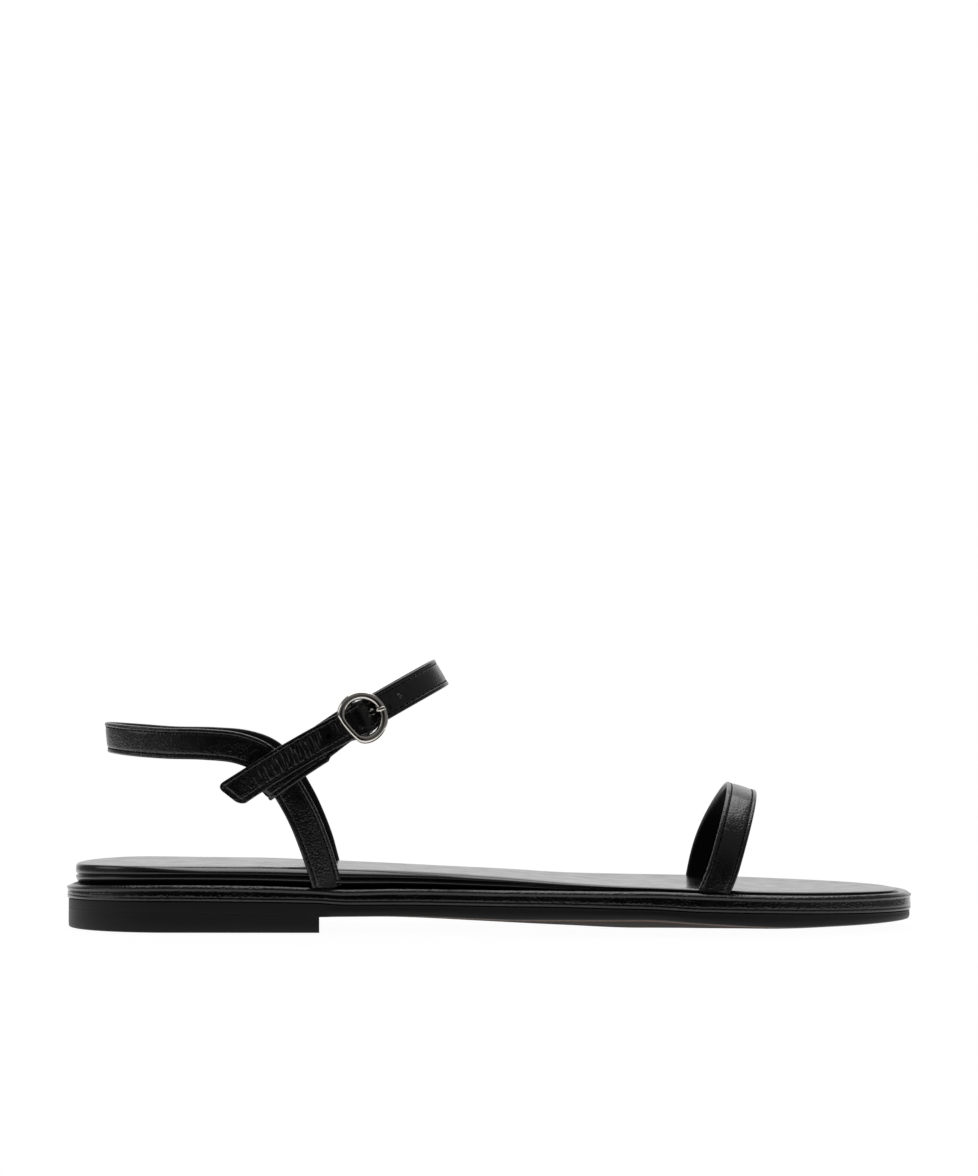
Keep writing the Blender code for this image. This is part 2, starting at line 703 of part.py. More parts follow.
def ring_rings():
    """Sections of the buckle's ring: a circle with one flat, thinner side towards the strap's tip."""
    centres = []
    wire = []
    for a in np.linspace(0, 2 * pi, RING_STATIONS, endpoint=False):
        flat = max(-cos(a - RING_FLAT_TURN), 0.0) / RING_FLAT
        radius = (RING_RADIUS**-RING_CORNER_POWER + flat**RING_CORNER_POWER) ** (-1 / RING_CORNER_POWER)
        centres.append((radius * cos(a), radius * sin(a), RING_LEVEL))
        wire.append(RING_WIRE + (FLAT_WIRE - RING_WIRE) * ease((RING_RADIUS - radius) / FLAT_BLEND))
    out = np.tile(buckle_direction(2), (RING_STATIONS, 1))
    return wire_rings(in_buckle(centres), out, wire, closed=True)


def bar_rings():
    """Sections of the bar that carries the tab, dropped below the strap."""
    left = [(0.0, -across, out) for across, out in BAR_SIDE[::-1]]
    right = [(0.0, across, out) for across, out in BAR_SIDE]
    route = even(curve_through(left + right), BAR_STATIONS)
    return wire_rings(in_buckle(route), np.tile(buckle_direction(0), (BAR_STATIONS, 1)), BAR_WIRE)


def prong_rings():
    """Sections of the prong: hooked round the bar, up through the strap and over the ring."""
    hook = BAR_WIRE + BAR_CLEAR + PRONG_WIRE
    arc = np.linspace(pi / 2, PRONG_HOOK_END, ARC_POINTS)
    route = [(hook * cos(a), 0.0, BAR_LEVEL + hook * sin(a)) for a in arc]
    route = even(curve_through(route + list(PRONG_ROUTE)), PRONG_STATIONS)
    return wire_rings(in_buckle(route), np.tile(buckle_direction(1), (PRONG_STATIONS, 1)), PRONG_WIRE)


def sole_mesh(name, profile, across):
    angles = np.linspace(0, pi, SOLE_ROWS + 1)
    sections = np.array([sole_section(angle, profile, across) for angle in angles])
    return skin_mesh(name, sections, capped=(False, False))


def heel_mesh():
    """Heel block, cut off at its front, a little further back on the inner side."""
    angles = np.linspace(0, station_angle(HEEL_FRONT), HEEL_ROWS)
    sections = np.array([sole_section(angle, HEEL_PROFILE, HEEL_ACROSS) for angle in angles])
    sections[-1, :, 0] = HEEL_FRONT + HEEL_SKEW * sections[-1, :, 1]
    return skin_mesh("heel", sections, capped=(False, True))


def add_sole():
    """Heel, outsole with a tan tread, rimmed midsole and footbed, with slots for the straps."""
    add_object("heel", heel_mesh(), "heel_black")
    outsole = add_object("outsole", sole_mesh("outsole", OUTSOLE_PROFILE, OUTSOLE_ACROSS), "sole_black")
    outsole.data.materials.append(MATERIALS["sole_tan"])
    for face in outsole.data.polygons:
        face.material_index = 1 if face.normal.z < TREAD_FACING else 0
    midsole = add_object("midsole", sole_mesh("midsole", MIDSOLE_PROFILE, MIDSOLE_ACROSS), "rim_leather")
    footbed = add_object("footbed", sole_mesh("footbed", PAD_PROFILE, PAD_ACROSS), "pad_leather")
    slots = foot_slots(heel_strap_rings, heel_strap_path()) + foot_slots(toe_strap_rings, toe_strap_path())
    cutter = add_cutter("strap_slots", skin_mesh("strap_slots", slots))
    for layer in (midsole, footbed):
        add_boolean(layer, cutter, "DIFFERENCE")


def add_straps():
    """The four leather straps of the upper."""
    heel = heel_strap_rings(strap_distances(heel_strap_path(), HEEL_STRAP_STATIONS))
    add_object("heel_strap", skin_mesh("heel_strap", heel), "strap_leather")
    toe = toe_strap_rings(strap_distances(toe_strap_path(), TOE_STRAP_STATIONS))
    add_object("toe_strap", skin_mesh("toe_strap", toe), "strap_leather")
    ankle = add_object("ankle_strap", skin_mesh("ankle_strap", ankle_strap_rings()), "strap_leather")
    holes = [strap_hole(PRONG_HOLE_AT, PRONG_HOLE)]
    holes += [strap_hole(distance, SPARE_HOLE) for distance in SPARE_HOLES_AT]
    add_boolean(ankle, add_cutter("strap_holes", skin_mesh("strap_holes", holes)), "DIFFERENCE")
    tab = add_object("buckle_tab", skin_mesh("buckle_tab", tab_rings(), closed=True), "strap_leather")
    add_boolean(tab, add_cutter("prong_slot", skin_mesh("prong_slot", prong_slot())), "DIFFERENCE")


def add_buckle():
    frame = add_object("buckle_frame", skin_mesh("buckle_frame", ring_rings(), closed=True), "buckle_metal")
    add_boolean(frame, add_cutter("buckle_bar", skin_mesh("buckle_bar", bar_rings())), "UNION")
    add_object("buckle_prong", skin_mesh("buckle_prong", prong_rings()), "buckle_metal")


for old in list(bpy.data.objects):
    bpy.data.objects.remove(old, do_unlink=True)
EDGE = np.array([outline(angle) for angle in np.linspace(-pi, pi, 2 * SOLE_ROWS + 1)])
PLAN_CENTRE = (EDGE[:, 1].min() + EDGE[:, 1].max()) / 2
MATERIALS = {name: add_material(name, finish) for name, finish in FINISHES.items()}
add_sole()
add_straps()
add_buckle()
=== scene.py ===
# %% [markdown]
# # A flat leather sandal, from its imported frame to a studio picture
# The imported model gives the true places and sizes of every piece. This lesson dresses it: each leather
# layer, strap and metal part is built again with the fine shape that the eye sees, in the same frame, and
# gets a material made of nodes. The frame is loaded first.

# %% Load the frame
from math import cos, pi, radians, sin

import bmesh
import bpy
import numpy as np
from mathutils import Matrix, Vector


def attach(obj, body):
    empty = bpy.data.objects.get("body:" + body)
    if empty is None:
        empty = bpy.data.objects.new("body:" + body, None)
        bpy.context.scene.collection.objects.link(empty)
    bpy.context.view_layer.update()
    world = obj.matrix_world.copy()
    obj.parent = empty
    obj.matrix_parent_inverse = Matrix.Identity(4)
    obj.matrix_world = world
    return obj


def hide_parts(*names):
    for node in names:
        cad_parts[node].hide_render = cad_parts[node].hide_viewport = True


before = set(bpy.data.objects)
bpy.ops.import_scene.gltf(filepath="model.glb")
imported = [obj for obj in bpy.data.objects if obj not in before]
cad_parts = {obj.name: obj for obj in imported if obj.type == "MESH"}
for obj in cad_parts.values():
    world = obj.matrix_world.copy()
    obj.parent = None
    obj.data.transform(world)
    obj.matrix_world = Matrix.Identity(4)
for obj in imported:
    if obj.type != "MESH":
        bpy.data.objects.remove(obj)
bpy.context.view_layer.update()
print("nodes:", sorted(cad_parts))

# %% [markdown]
# ## Camera
# The picture was taken from the outer side of a right shoe, far away and a little above the floor. A long
# lens keeps the lines nearly parallel. The numbers come from the shoe's assumed length and from where the
# floor and the far edge of the sole fall in the picture, which is 978 pixels wide and 1176 high.

# %% Camera at the viewing angle
PICTURE_HEIGHT = 1176
FOCAL_PIXELS = 5989.0
SENSOR_MM = 36.0
CAMERA_PLACE, CAMERA_TILT = (-0.0002, -1.7999, 0.1255), radians(90 - 0.76)
camera_data = bpy.data.cameras.new("camera")
camera_data.sensor_width = SENSOR_MM
camera_data.lens = FOCAL_PIXELS * SENSOR_MM / PICTURE_HEIGHT
camera_data.clip_start = 0.1
camera_data.clip_end = 100.0
camera = bpy.data.objects.new("camera", camera_data)
camera.location = CAMERA_PLACE
camera.rotation_euler = (CAMERA_TILT, 0.0, 0.0)
bpy.context.scene.collection.objects.link(camera)
bpy.context.scene.camera = camera
print("lens:", round(camera_data.lens, 1), "mm")

# %% [markdown]
# ## One small function for nodes
# Every material and every node tree below is a list of nodes that feed each other. This function adds one
# node, sets its options, and fills its inputs: an input that is a socket becomes a link, anything else is a
# value. Colours are written as sRGB hex values, as a colour picker shows them, and turned to linear light.

# %% Helpers for nodes and colours
def add_node(tree, kind, inputs=None, **settings):
    node = tree.nodes.new(kind)
    for key, value in settings.items():
        setattr(node, key, value)
    for key, value in (inputs or {}).items():
        if isinstance(value, bpy.types.NodeSocket):
            tree.links.new(value, node.inputs[key])
        else:
            node.inputs[key].default_value = value
    return node


def colour(hex_code):
    parts = [int(hex_code[k:k + 2], 16) / 255 for k in (1, 3, 5)]
    return [c / 12.92 if c <= 0.04045 else ((c + 0.055) / 1.055) ** 2.4 for c in parts] + [1.0]


def new_material(name):
    material = bpy.data.materials.new(name)
    material.use_nodes = True
    material.node_tree.nodes.clear()
    return material, material.node_tree


# %% [markdown]
# ## Light
# Black leather shows little but what it mirrors, so a studio for it is built for its reflections. Behind
# the shoe the room is bright, and the footbed mirrors that at a glancing angle. On the camera's side the
# room is nearly dark, which keeps the straps black. A broad box overhead, a little behind, draws the lines
# of light on rims and rolls, and a weaker one high on the left lights folded margins and the ring. The
# Light Path node shows plain white to the camera.

# %% Studio light
CAMERA_SIDE, DIM_SIDE, BACK_LOW, BACK_HIGH = 0.008, 0.17, 0.76, 1.1
FRONT_SPAN, BACK_SPAN, BACK_RISE = (-0.95, -0.6), (0.72, 0.98), 0.35
SHOE_MIDDLE = Vector((0.0, 0.0, 0.03))
world = bpy.data.worlds.new("studio")
world.use_nodes = True
sky = world.node_tree
sky.nodes.clear()
direction = add_node(sky, "ShaderNodeTexCoord").outputs["Generated"]
axes = add_node(sky, "ShaderNodeSeparateXYZ", {"Vector": direction})
back = add_node(sky, "ShaderNodeMapRange",
                {"Value": axes.outputs["Z"], "From Min": 0.0, "From Max": BACK_RISE,
                 "To Min": BACK_LOW, "To Max": BACK_HIGH})
front = add_node(sky, "ShaderNodeMapRange",
                 {"Value": axes.outputs["Y"], "From Min": FRONT_SPAN[0], "From Max": FRONT_SPAN[1],
                  "To Min": CAMERA_SIDE, "To Max": DIM_SIDE})
depth = add_node(sky, "ShaderNodeMapRange",
                 {"Value": axes.outputs["Y"], "From Min": BACK_SPAN[0], "From Max": BACK_SPAN[1],
                  "To Min": front.outputs[0], "To Max": back.outputs[0]}, interpolation_type="SMOOTHSTEP")
room = add_node(sky, "ShaderNodeBackground", {"Color": colour("#ffffff"), "Strength": depth.outputs[0]})
backdrop = add_node(sky, "ShaderNodeBackground", {"Color": colour("#ffffff"), "Strength": 1.0})
ray = add_node(sky, "ShaderNodeLightPath")
seen = add_node(sky, "ShaderNodeMixShader",
                {0: ray.outputs["Is Camera Ray"], 1: room.outputs[0], 2: backdrop.outputs[0]})
add_node(sky, "ShaderNodeOutputWorld", {"Surface": seen.outputs[0]})
bpy.context.scene.world = world
bpy.context.scene.view_settings.view_transform = "Standard"


def soft_box(name, size, place, radiance):
    """Lit rectangle that faces the shoe. Its power follows from its area and from how bright it looks."""
    data = bpy.data.lights.new(name, "AREA")
    data.shape = "RECTANGLE"
    data.size, data.size_y = size
    data.energy = pi * size[0] * size[1] * radiance
    box = bpy.data.objects.new(name, data)
    box.location = place
    box.rotation_euler = (SHOE_MIDDLE - Vector(place)).to_track_quat("-Z", "Y").to_euler()
    box.visible_camera = False
    bpy.context.scene.collection.objects.link(box)


soft_box("overhead_box", (1.0, 0.8), (0.0, 0.55, 1.0), 1.8)
soft_box("left_box", (0.7, 0.7), (-1.1, -0.1, 0.6), 1.1)
print("room:", CAMERA_SIDE, "at the front,", DIM_SIDE, "at the sides,", BACK_LOW, "to", BACK_HIGH, "behind")

# %% [markdown]
# ## Floor
# The shoe stands on a small light table: a white sheet that also glows, so that hardly any shadow shows. It
# ends a hand's breadth in front of the shoe, so that there only the low heel and the sole edge mirror it,
# and reaches further behind. The Light Path node lets the sheet look white to the camera and in mirrored
# light, while it hardly lights the shoe.

# %% Light table
TABLE_X, TABLE_FRONT, TABLE_BACK = 0.3, -0.115, 0.6
TABLE_GLOW, TABLE_MIRRORED, TABLE_SEEN = 0.05, 1.0, 0.97
FIBRE_SCALE, FIBRE_DEPTH = 900.0, 0.0001
sheet_material, tree = new_material("white_light_table")
fibre = add_node(tree, "ShaderNodeTexNoise", {"Scale": FIBRE_SCALE, "Detail": 2.0})
fibre_bump = add_node(tree, "ShaderNodeBump",
                      {"Strength": 0.05, "Distance": FIBRE_DEPTH, "Height": fibre.outputs[0]})
ray = add_node(tree, "ShaderNodeLightPath")
unseen = add_node(tree, "ShaderNodeMapRange",
                  {"Value": ray.outputs["Is Diffuse Ray"], "To Min": TABLE_MIRRORED, "To Max": TABLE_GLOW})
glow = add_node(tree, "ShaderNodeMapRange",
                {"Value": ray.outputs["Is Camera Ray"], "To Min": unseen.outputs[0], "To Max": TABLE_SEEN})
sheet = add_node(tree, "ShaderNodeBsdfPrincipled",
                 {"Base Color": colour("#343434"), "Roughness": 0.9, "Specular IOR Level": 0.1,
                  "Emission Color": colour("#ffffff"), "Emission Strength": glow.outputs[0],
                  "Normal": fibre_bump.outputs[0]})
add_node(tree, "ShaderNodeOutputMaterial", {"Surface": sheet.outputs[0]})
floor_mesh = bpy.data.meshes.new("floor")
corners = [(-TABLE_X, TABLE_FRONT), (TABLE_X, TABLE_FRONT), (TABLE_X, TABLE_BACK), (-TABLE_X, TABLE_BACK)]
floor_mesh.from_pydata([(x, y, 0.0) for x, y in corners], [], [(0, 1, 2, 3)])
floor_mesh.materials.append(sheet_material)
floor = bpy.data.objects.new("floor", floor_mesh)
bpy.context.scene.collection.objects.link(floor)
print("table glow:", TABLE_GLOW)

# %% [markdown]
# ## Black leathers
# Strap leather is drum-dyed calf with a thin glossy finish: black, with a grain of small pebbles. The real
# pebbles are about 0.3 mm across, too fine for this picture, so they are drawn about twice as coarse. A
# broad noise presses them flat in some places, as on worn leather, another lets the gloss vary, and a thin
# coat gives the sharp part of the highlight. The footbed is smoother and glossier, the lining duller.

# %% Leather materials
LEATHER_IOR = 1.5
PRESSED_MM, PRESSED_SPAN, PRESSED_LEAST = 16.0, (0.38, 0.6), 0.35
WANDER_GRAINS, WANDER_SPAN, GLOSS_SWING = 6, (0.3, 0.7), 0.05
COAT_ROUGHNESS = 0.12


def leather(name, tones, grain_mm, grain_depth, roughness, specular, coat):
    material, tree = new_material(name)
    where = add_node(tree, "ShaderNodeTexCoord").outputs["Object"]
    pebbles = add_node(tree, "ShaderNodeTexVoronoi", {"Vector": where, "Scale": 1000 / grain_mm},
                       feature="SMOOTH_F1")
    wander = add_node(tree, "ShaderNodeTexNoise",
                      {"Vector": where, "Scale": 1000 / (WANDER_GRAINS * grain_mm), "Detail": 4.0})
    pressed = add_node(tree, "ShaderNodeTexNoise",
                       {"Vector": where, "Scale": 1000 / PRESSED_MM, "Detail": 1.0})
    strength = add_node(tree, "ShaderNodeMapRange",
                        {"Value": pressed.outputs[0], "From Min": PRESSED_SPAN[0],
                         "From Max": PRESSED_SPAN[1], "To Min": PRESSED_LEAST, "To Max": 1.0})
    height = add_node(tree, "ShaderNodeMath", {0: pebbles.outputs["Distance"], 1: wander.outputs[0]},
                      operation="ADD")
    grain = add_node(tree, "ShaderNodeBump",
                     {"Strength": strength.outputs[0], "Distance": grain_depth / 1000,
                      "Height": height.outputs[0]})
    gloss = add_node(tree, "ShaderNodeMapRange",
                     {"Value": wander.outputs[0], "From Min": WANDER_SPAN[0], "From Max": WANDER_SPAN[1],
                      "To Min": roughness - GLOSS_SWING, "To Max": roughness + GLOSS_SWING})
    tone = add_node(tree, "ShaderNodeMix", {0: wander.outputs[0], 6: colour(tones[0]), 7: colour(tones[1])},
                    data_type="RGBA")
    surface = add_node(tree, "ShaderNodeBsdfPrincipled",
                       {"Base Color": tone.outputs[2], "IOR": LEATHER_IOR, "Roughness": gloss.outputs[0],
                        "Specular IOR Level": specular, "Coat Weight": coat,
                        "Coat Roughness": COAT_ROUGHNESS, "Normal": grain.outputs[0]})
    add_node(tree, "ShaderNodeOutputMaterial", {"Surface": surface.outputs[0]})
    return material


strap_leather = leather("black_calf_leather", ("#0a0a0b", "#141415"), 0.6, 0.24, 0.3, 0.45, 0.35)
lining_leather = leather("black_lining_leather", ("#1a1a1c", "#262628"), 0.5, 0.05, 0.42, 0.3, 0.0)
rim_leather = leather("black_wrapped_rim_leather", ("#040404", "#0a0a0b"), 0.7, 0.12, 0.19, 0.4, 0.2)
footbed_leather = leather("black_glazed_footbed_leather", ("#060606", "#0c0c0d"), 0.9, 0.008, 0.2, 0.5, 0.2)
print("leathers:", strap_leather.name, footbed_leather.name)

# %% [markdown]
# ## Sole edge, tread, metal and thread
# The heel and the sole edge are sanded flush and painted with satin edge ink, which fills the pores and
# leaves faint lines along the layers. The tread is tan leather board, with painted shade away from its edge.
# The buckle is die-cast and nickel plated: a mirror with a faint haze from handling. The thread is bonded
# black polyester.

# %% Other materials
FINISH_IOR = 1.5
LINE_STRETCH, LINE_STRENGTH, LINE_SWING = (0.06, 0.06, 1.0), 0.5, 0.08
HAZE_SCALE, HAZE_ROUGHNESS = 400.0, (0.05, 0.16)


def satin(name, hex_code, roughness, specular, line_mm, depth):
    """Finish with faint lines that run along the shoe, as sanding leaves them."""
    material, tree = new_material(name)
    where = add_node(tree, "ShaderNodeTexCoord").outputs["Object"]
    along = add_node(tree, "ShaderNodeMapping", {"Vector": where, "Scale": LINE_STRETCH})
    lines = add_node(tree, "ShaderNodeTexNoise",
                     {"Vector": along.outputs[0], "Scale": 1000 / line_mm, "Detail": 3.0})
    bump = add_node(tree, "ShaderNodeBump",
                    {"Strength": LINE_STRENGTH, "Distance": depth / 1000, "Height": lines.outputs[0]})
    gloss = add_node(tree, "ShaderNodeMapRange",
                     {"Value": lines.outputs[0], "To Min": roughness - LINE_SWING,
                      "To Max": roughness + LINE_SWING})
    surface = add_node(tree, "ShaderNodeBsdfPrincipled",
                       {"Base Color": colour(hex_code), "IOR": FINISH_IOR, "Roughness": gloss.outputs[0],
                        "Specular IOR Level": specular, "Normal": bump.outputs[0]})
    add_node(tree, "ShaderNodeOutputMaterial", {"Surface": surface.outputs[0]})
    return material


edge_ink = satin("black_edge_ink", "#0f0f10", 0.45, 0.24, 1.2, 0.05)
tread_board = satin("tan_leather_board", "#785030", 0.6, 0.15, 2.0, 0.08)
# Painted shade: away from its edge the tread is dark brown, standing for the shadow where it meets the floor.
tread_painted_shade = satin("leather_board_painted_shade", "#1c130d", 0.7, 0.05, 2.0, 0.08)
thread_black = satin("black_polyester_thread", "#08080a", 0.5, 0.3, 0.3, 0.03)
# Painted shade: the needle holes are drawn as small near-black beads, not as holes.
needle_hole_shade_finish = satin("needle_hole_painted_shade", "#020202", 0.9, 0.05, 0.3, 0.03)
nickel, tree = new_material("polished_nickel_plate")
where = add_node(tree, "ShaderNodeTexCoord").outputs["Object"]
haze = add_node(tree, "ShaderNodeTexNoise", {"Vector": where, "Scale": HAZE_SCALE, "Detail": 3.0})
handled = add_node(tree, "ShaderNodeMapRange",
                   {"Value": haze.outputs[0], "To Min": HAZE_ROUGHNESS[0], "To Max": HAZE_ROUGHNESS[1]})
plate = add_node(tree, "ShaderNodeBsdfPrincipled",
                 {"Base Color": colour("#dcd8d0"), "Metallic": 1.0, "Roughness": handled.outputs[0]})
add_node(tree, "ShaderNodeOutputMaterial", {"Surface": plate.outputs[0]})
print("other finishes:", edge_ink.name, tread_board.name, nickel.name)

# %% [markdown]
# ## Reading the sole's tables
# A shoe sole is drawn as sections across the foot. The tables give the plan and the heights at a few
# stations, in millimetres from the back of the heel, and a curve that doesn't overshoot reads them in
# between. They are the same tables that the frame was made from, so each new layer lies on its solid.

# %% Sole tables
MM = 0.001
LENGTH = 254.0
GAP = 0.3
HEEL_ROUND, TOE_ROUND, TOE_POWER = 32.0, 70.0, 2.1
HEEL_FRONT, HEEL_SKEW = 75.5, -0.036
RIM_AT_HEEL, RIM_AT_TOE = 2.6, 4.2
TRAY_DEPTH = 1.3
PLAN_COLUMNS = ("station", "middle", "half")
PLAN = np.array((
    (0.0, 0.0, 31.0), (38.0, -0.2, 31.0), (75.0, -1.4, 30.2), (105.0, -2.0, 29.2), (140.0, -1.5, 35.6),
    (170.0, -0.6, 42.2), (190.0, 0.0, 43.0), (215.0, 1.0, 43.0), (254.0, 5.5, 43.0),
))
SIDE_COLUMNS = ("station", "bottom", "bottom_outer", "bottom_inner", "seam", "rim", "pad", "outer", "inner")
SIDE = np.array((
    (0.0, 6.0, 0.0, 0.0, 8.5, 12.7, 19.2, 0.5, 0.5),
    (30.0, 5.8, 0.0, 0.0, 8.8, 13.7, 19.3, 0.6, 0.5),
    (55.0, 5.2, 0.0, 0.0, 8.6, 13.5, 19.2, 0.6, 0.5),
    (76.0, 4.6, 0.1, 0.0, 8.0, 12.6, 18.6, 0.9, 0.5),
    (84.0, 4.3, 0.45, 0.2, 7.3, 11.95, 18.3, 1.1, 0.5),
    (100.0, 3.6, 1.3, 0.6, 6.8, 11.7, 17.6, 1.6, 0.5),
    (130.0, 2.0, 2.2, 1.0, 6.2, 11.1, 15.8, 2.0, 0.6),
    (150.0, 0.9, 3.5, 1.8, 6.0, 10.9, 14.1, 2.2, 0.8),
    (172.0, 0.0, 4.7, 2.8, 5.7, 10.9, 12.8, 2.2, 1.2),
    (190.0, 0.0, 3.5, 2.6, 5.2, 10.7, 12.3, 1.8, 1.3),
    (210.0, 0.0, 2.2, 1.9, 5.1, 10.4, 11.8, 1.3, 1.1),
    (232.0, 0.8, 1.2, 1.0, 4.9, 10.2, 11.5, 0.8, 0.7),
    (254.0, 2.1, 0.2, 0.2, 4.8, 10.4, 11.3, 0.2, 0.2),
))
DISH = (0.0, 0.2)
TREAD = (0.24, 0.28)


def smooth(xs, ys, x):
    step = np.diff(xs)
    rise = np.diff(ys) / step
    slope = np.zeros(len(xs))
    for k in range(1, len(xs) - 1):
        if rise[k - 1] * rise[k] > 0:
            slope[k] = 2 * rise[k - 1] * rise[k] / (rise[k - 1] + rise[k])
    slope[0], slope[-1] = rise[0], rise[-1]
    x = np.clip(x, xs[0], xs[-1])
    k = np.clip(np.searchsorted(xs, x, side="right") - 1, 0, len(xs) - 2)
    t = (x - xs[k]) / step[k]
    blend = ys[k] + t * t * (3 - 2 * t) * (ys[k + 1] - ys[k])
    return blend + step[k] * t * (1 - t) * ((1 - t) * slope[k] - t * slope[k + 1])


def plan(name, x):
    return smooth(PLAN[:, 0], PLAN[:, PLAN_COLUMNS.index(name)], x)


def side(name, x):
    return smooth(SIDE[:, 0], SIDE[:, SIDE_COLUMNS.index(name)], x)


def ease(t):
    t = np.clip(t, 0, 1)
    return t * t * (3 - 2 * t)


def half_breadth(x):
    heel = np.clip((HEEL_ROUND - x) / HEEL_ROUND, 0, 1)
    toe = np.clip((x - LENGTH + TOE_ROUND) / TOE_ROUND, 0, 1)
    return plan("half", x) * np.sqrt(1 - heel**2) * (1 - toe**TOE_POWER) ** (1 / TOE_POWER)


def rim_width(x):
    return RIM_AT_HEEL + (RIM_AT_TOE - RIM_AT_HEEL) * x / LENGTH


def outline(angle):
    angle = (angle + pi) % (2 * pi) - pi
    x = LENGTH / 2 * (1 - np.cos(angle))
    return np.stack([x, plan("middle", x) - np.sign(angle) * half_breadth(x)], axis=-1)


EDGE_STATIONS = 73
EDGE = outline(np.linspace(-pi, pi, EDGE_STATIONS))
PLAN_CENTRE = (EDGE[:, 1].min() + EDGE[:, 1].max()) / 2


def to_frame(points):
    """Millimetres along the sole to metres in the frame."""
    return (np.asarray(points) - np.array([LENGTH / 2, PLAN_CENTRE, 0.0])) * MM


print("plan centre:", round(PLAN_CENTRE, 4), "mm")

# %% [markdown]
# ## Heights and profiles
# Each layer is a loop of points at every angle round the sole: across the bottom, up one side by a small
# profile, across the top, down the other side. The profile rows say which line they follow, how far inside
# it they lie, and how high. A Subdivision Surface modifier would round the rows but pull the ends in, so a
# smooth curve is run through them instead, which keeps every row where it is.

# %% Lines along the sole
def crown(x, y, outer, inner, shape):
    place, flat = shape
    across = (y - plan("middle", x)) / np.maximum(half_breadth(x), 1.0) - place
    reach = np.where(across < 0, 1 + place, 1 - place)
    part = np.clip((np.abs(across) - flat) / (reach - flat), 0, 1)
    return np.where(across < 0, outer, inner) * part**2


def level(name, x, y, above):
    if name == "floor":
        return above + 0 * x
    if name == "bottom":
        rise = crown(x, y, side("bottom_outer", x), side("bottom_inner", x), TREAD)
        return side("bottom", x) + rise + above
    dish = crown(x, y, side("outer", x), side("inner", x), DISH)
    if name == "pad":
        tray = side("rim", x) - TRAY_DEPTH + GAP
        return tray + dish + above * (side("pad", x) - tray)
    return side(name, x) + dish + above


def profile_line(angles, line, inset, name, above):
    """One row of a side profile, all along the sole. Inset and height may change with the station."""
    turn = 1e-3
    run = outline(angles + turn) - outline(angles - turn)
    run = run / np.linalg.norm(run, axis=1, keepdims=True)
    edge = outline(angles)
    x = edge[:, 0]
    inset = inset(x) if callable(inset) else inset + 0 * x
    above = above(x) if callable(above) else above
    inset = inset + (rim_width(x) if line == "pad" else 0.0)
    spot = edge + inset[:, None] * np.stack([-run[:, 1], run[:, 0]], axis=1)
    return np.column_stack([spot, level(name, spot[:, 0], spot[:, 1], above)])


def across_lines(start, end, row, count):
    above = row[3]
    lines = []
    for t in np.linspace(0, 1, count + 1):
        spot = (1 - t) * start[:, :2] + t * end[:, :2]
        height = above(spot[:, 0]) if callable(above) else above
        lines.append(np.column_stack([spot, level(row[2], spot[:, 0], spot[:, 1], height)]))
    return lines


# %% Smooth curves and sections
PROFILE_STEPS = 5


def curve_through(points, fineness):
    """Finely divided smooth curve through points, or through whole lines of points at once."""
    points = np.array(points, float)
    ends = np.concatenate([[2 * points[0] - points[1]], points, [2 * points[-1] - points[-2]]])
    gaps = np.linalg.norm(np.diff(ends, axis=0), axis=-1).reshape(len(ends) - 1, -1).mean(axis=1)
    knots = np.concatenate([[0.0], np.cumsum(np.sqrt(gaps))])
    curve = []
    for k in range(1, len(ends) - 2):
        t0, t1, t2, t3 = knots[k - 1:k + 3]
        for t in np.linspace(t1, t2, fineness, endpoint=False):
            a = ((t1 - t) * ends[k - 1] + (t - t0) * ends[k]) / (t1 - t0)
            b = ((t2 - t) * ends[k] + (t - t1) * ends[k + 1]) / (t2 - t1)
            c = ((t3 - t) * ends[k + 1] + (t - t2) * ends[k + 2]) / (t3 - t2)
            d = ((t2 - t) * a + (t - t0) * b) / (t2 - t0)
            e = ((t3 - t) * b + (t - t1) * c) / (t3 - t1)
            curve.append(((t2 - t) * d + (t - t1) * e) / (t2 - t1))
    return np.array(curve + [points[-1]])


def layer_sections(angles, profile, count):
    outer = curve_through([profile_line(angles, *row) for row in profile], PROFILE_STEPS)
    inner = curve_through([profile_line(-angles, *row) for row in profile], PROFILE_STEPS)
    under = across_lines(inner[0], outer[0], profile[0], count)
    over = across_lines(outer[-1], inner[-1], profile[-1], count)
    return np.stack(under + list(outer[1:-1]) + over + list(inner[-2:0:-1]), axis=1)


# %% Skinning sections into a mesh
MERGE_DISTANCE = 1e-7


def skin(name, sections, closed=False, capped=True, materials=(), inks=None):
    """Mesh object from sections. inks gives each strip of faces its material slot."""
    rows, points = sections.shape[:2]
    numbers = np.arange(rows * points).reshape(rows, points)
    faces = []
    slots = []
    for row in range(rows if closed else rows - 1):
        here, there = numbers[row], numbers[(row + 1) % rows]
        for k in range(points):
            n = (k + 1) % points
            faces.append((here[k], here[n], there[n], there[k]))
            slots.append(inks[k] if inks else 0)
    if capped and not closed:
        faces += [tuple(numbers[0]), tuple(numbers[-1])]
        slots += [0, 0]
    mesh = bpy.data.meshes.new(name)
    mesh.from_pydata(to_frame(sections.reshape(-1, 3)).tolist(), [], faces)
    for material in materials:
        mesh.materials.append(material)
    mesh.polygons.foreach_set("material_index", slots)
    body = bmesh.new()
    body.from_mesh(mesh)
    bmesh.ops.remove_doubles(body, verts=body.verts, dist=MERGE_DISTANCE)
    bmesh.ops.recalc_face_normals(body, faces=body.faces)
    body.to_mesh(mesh)
    body.free()
    mesh.shade_smooth()
    piece = bpy.data.objects.new(name, mesh)
    bpy.context.scene.collection.objects.link(piece)
    return piece


def finish_piece(piece, slot, *nodes):
    """The piece rides on the shoe and stands for its solids. The slot argument is not used."""
    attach(piece, "root")
    if nodes:
        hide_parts(*nodes)
    print(piece.name, len(piece.data.polygons), "faces")


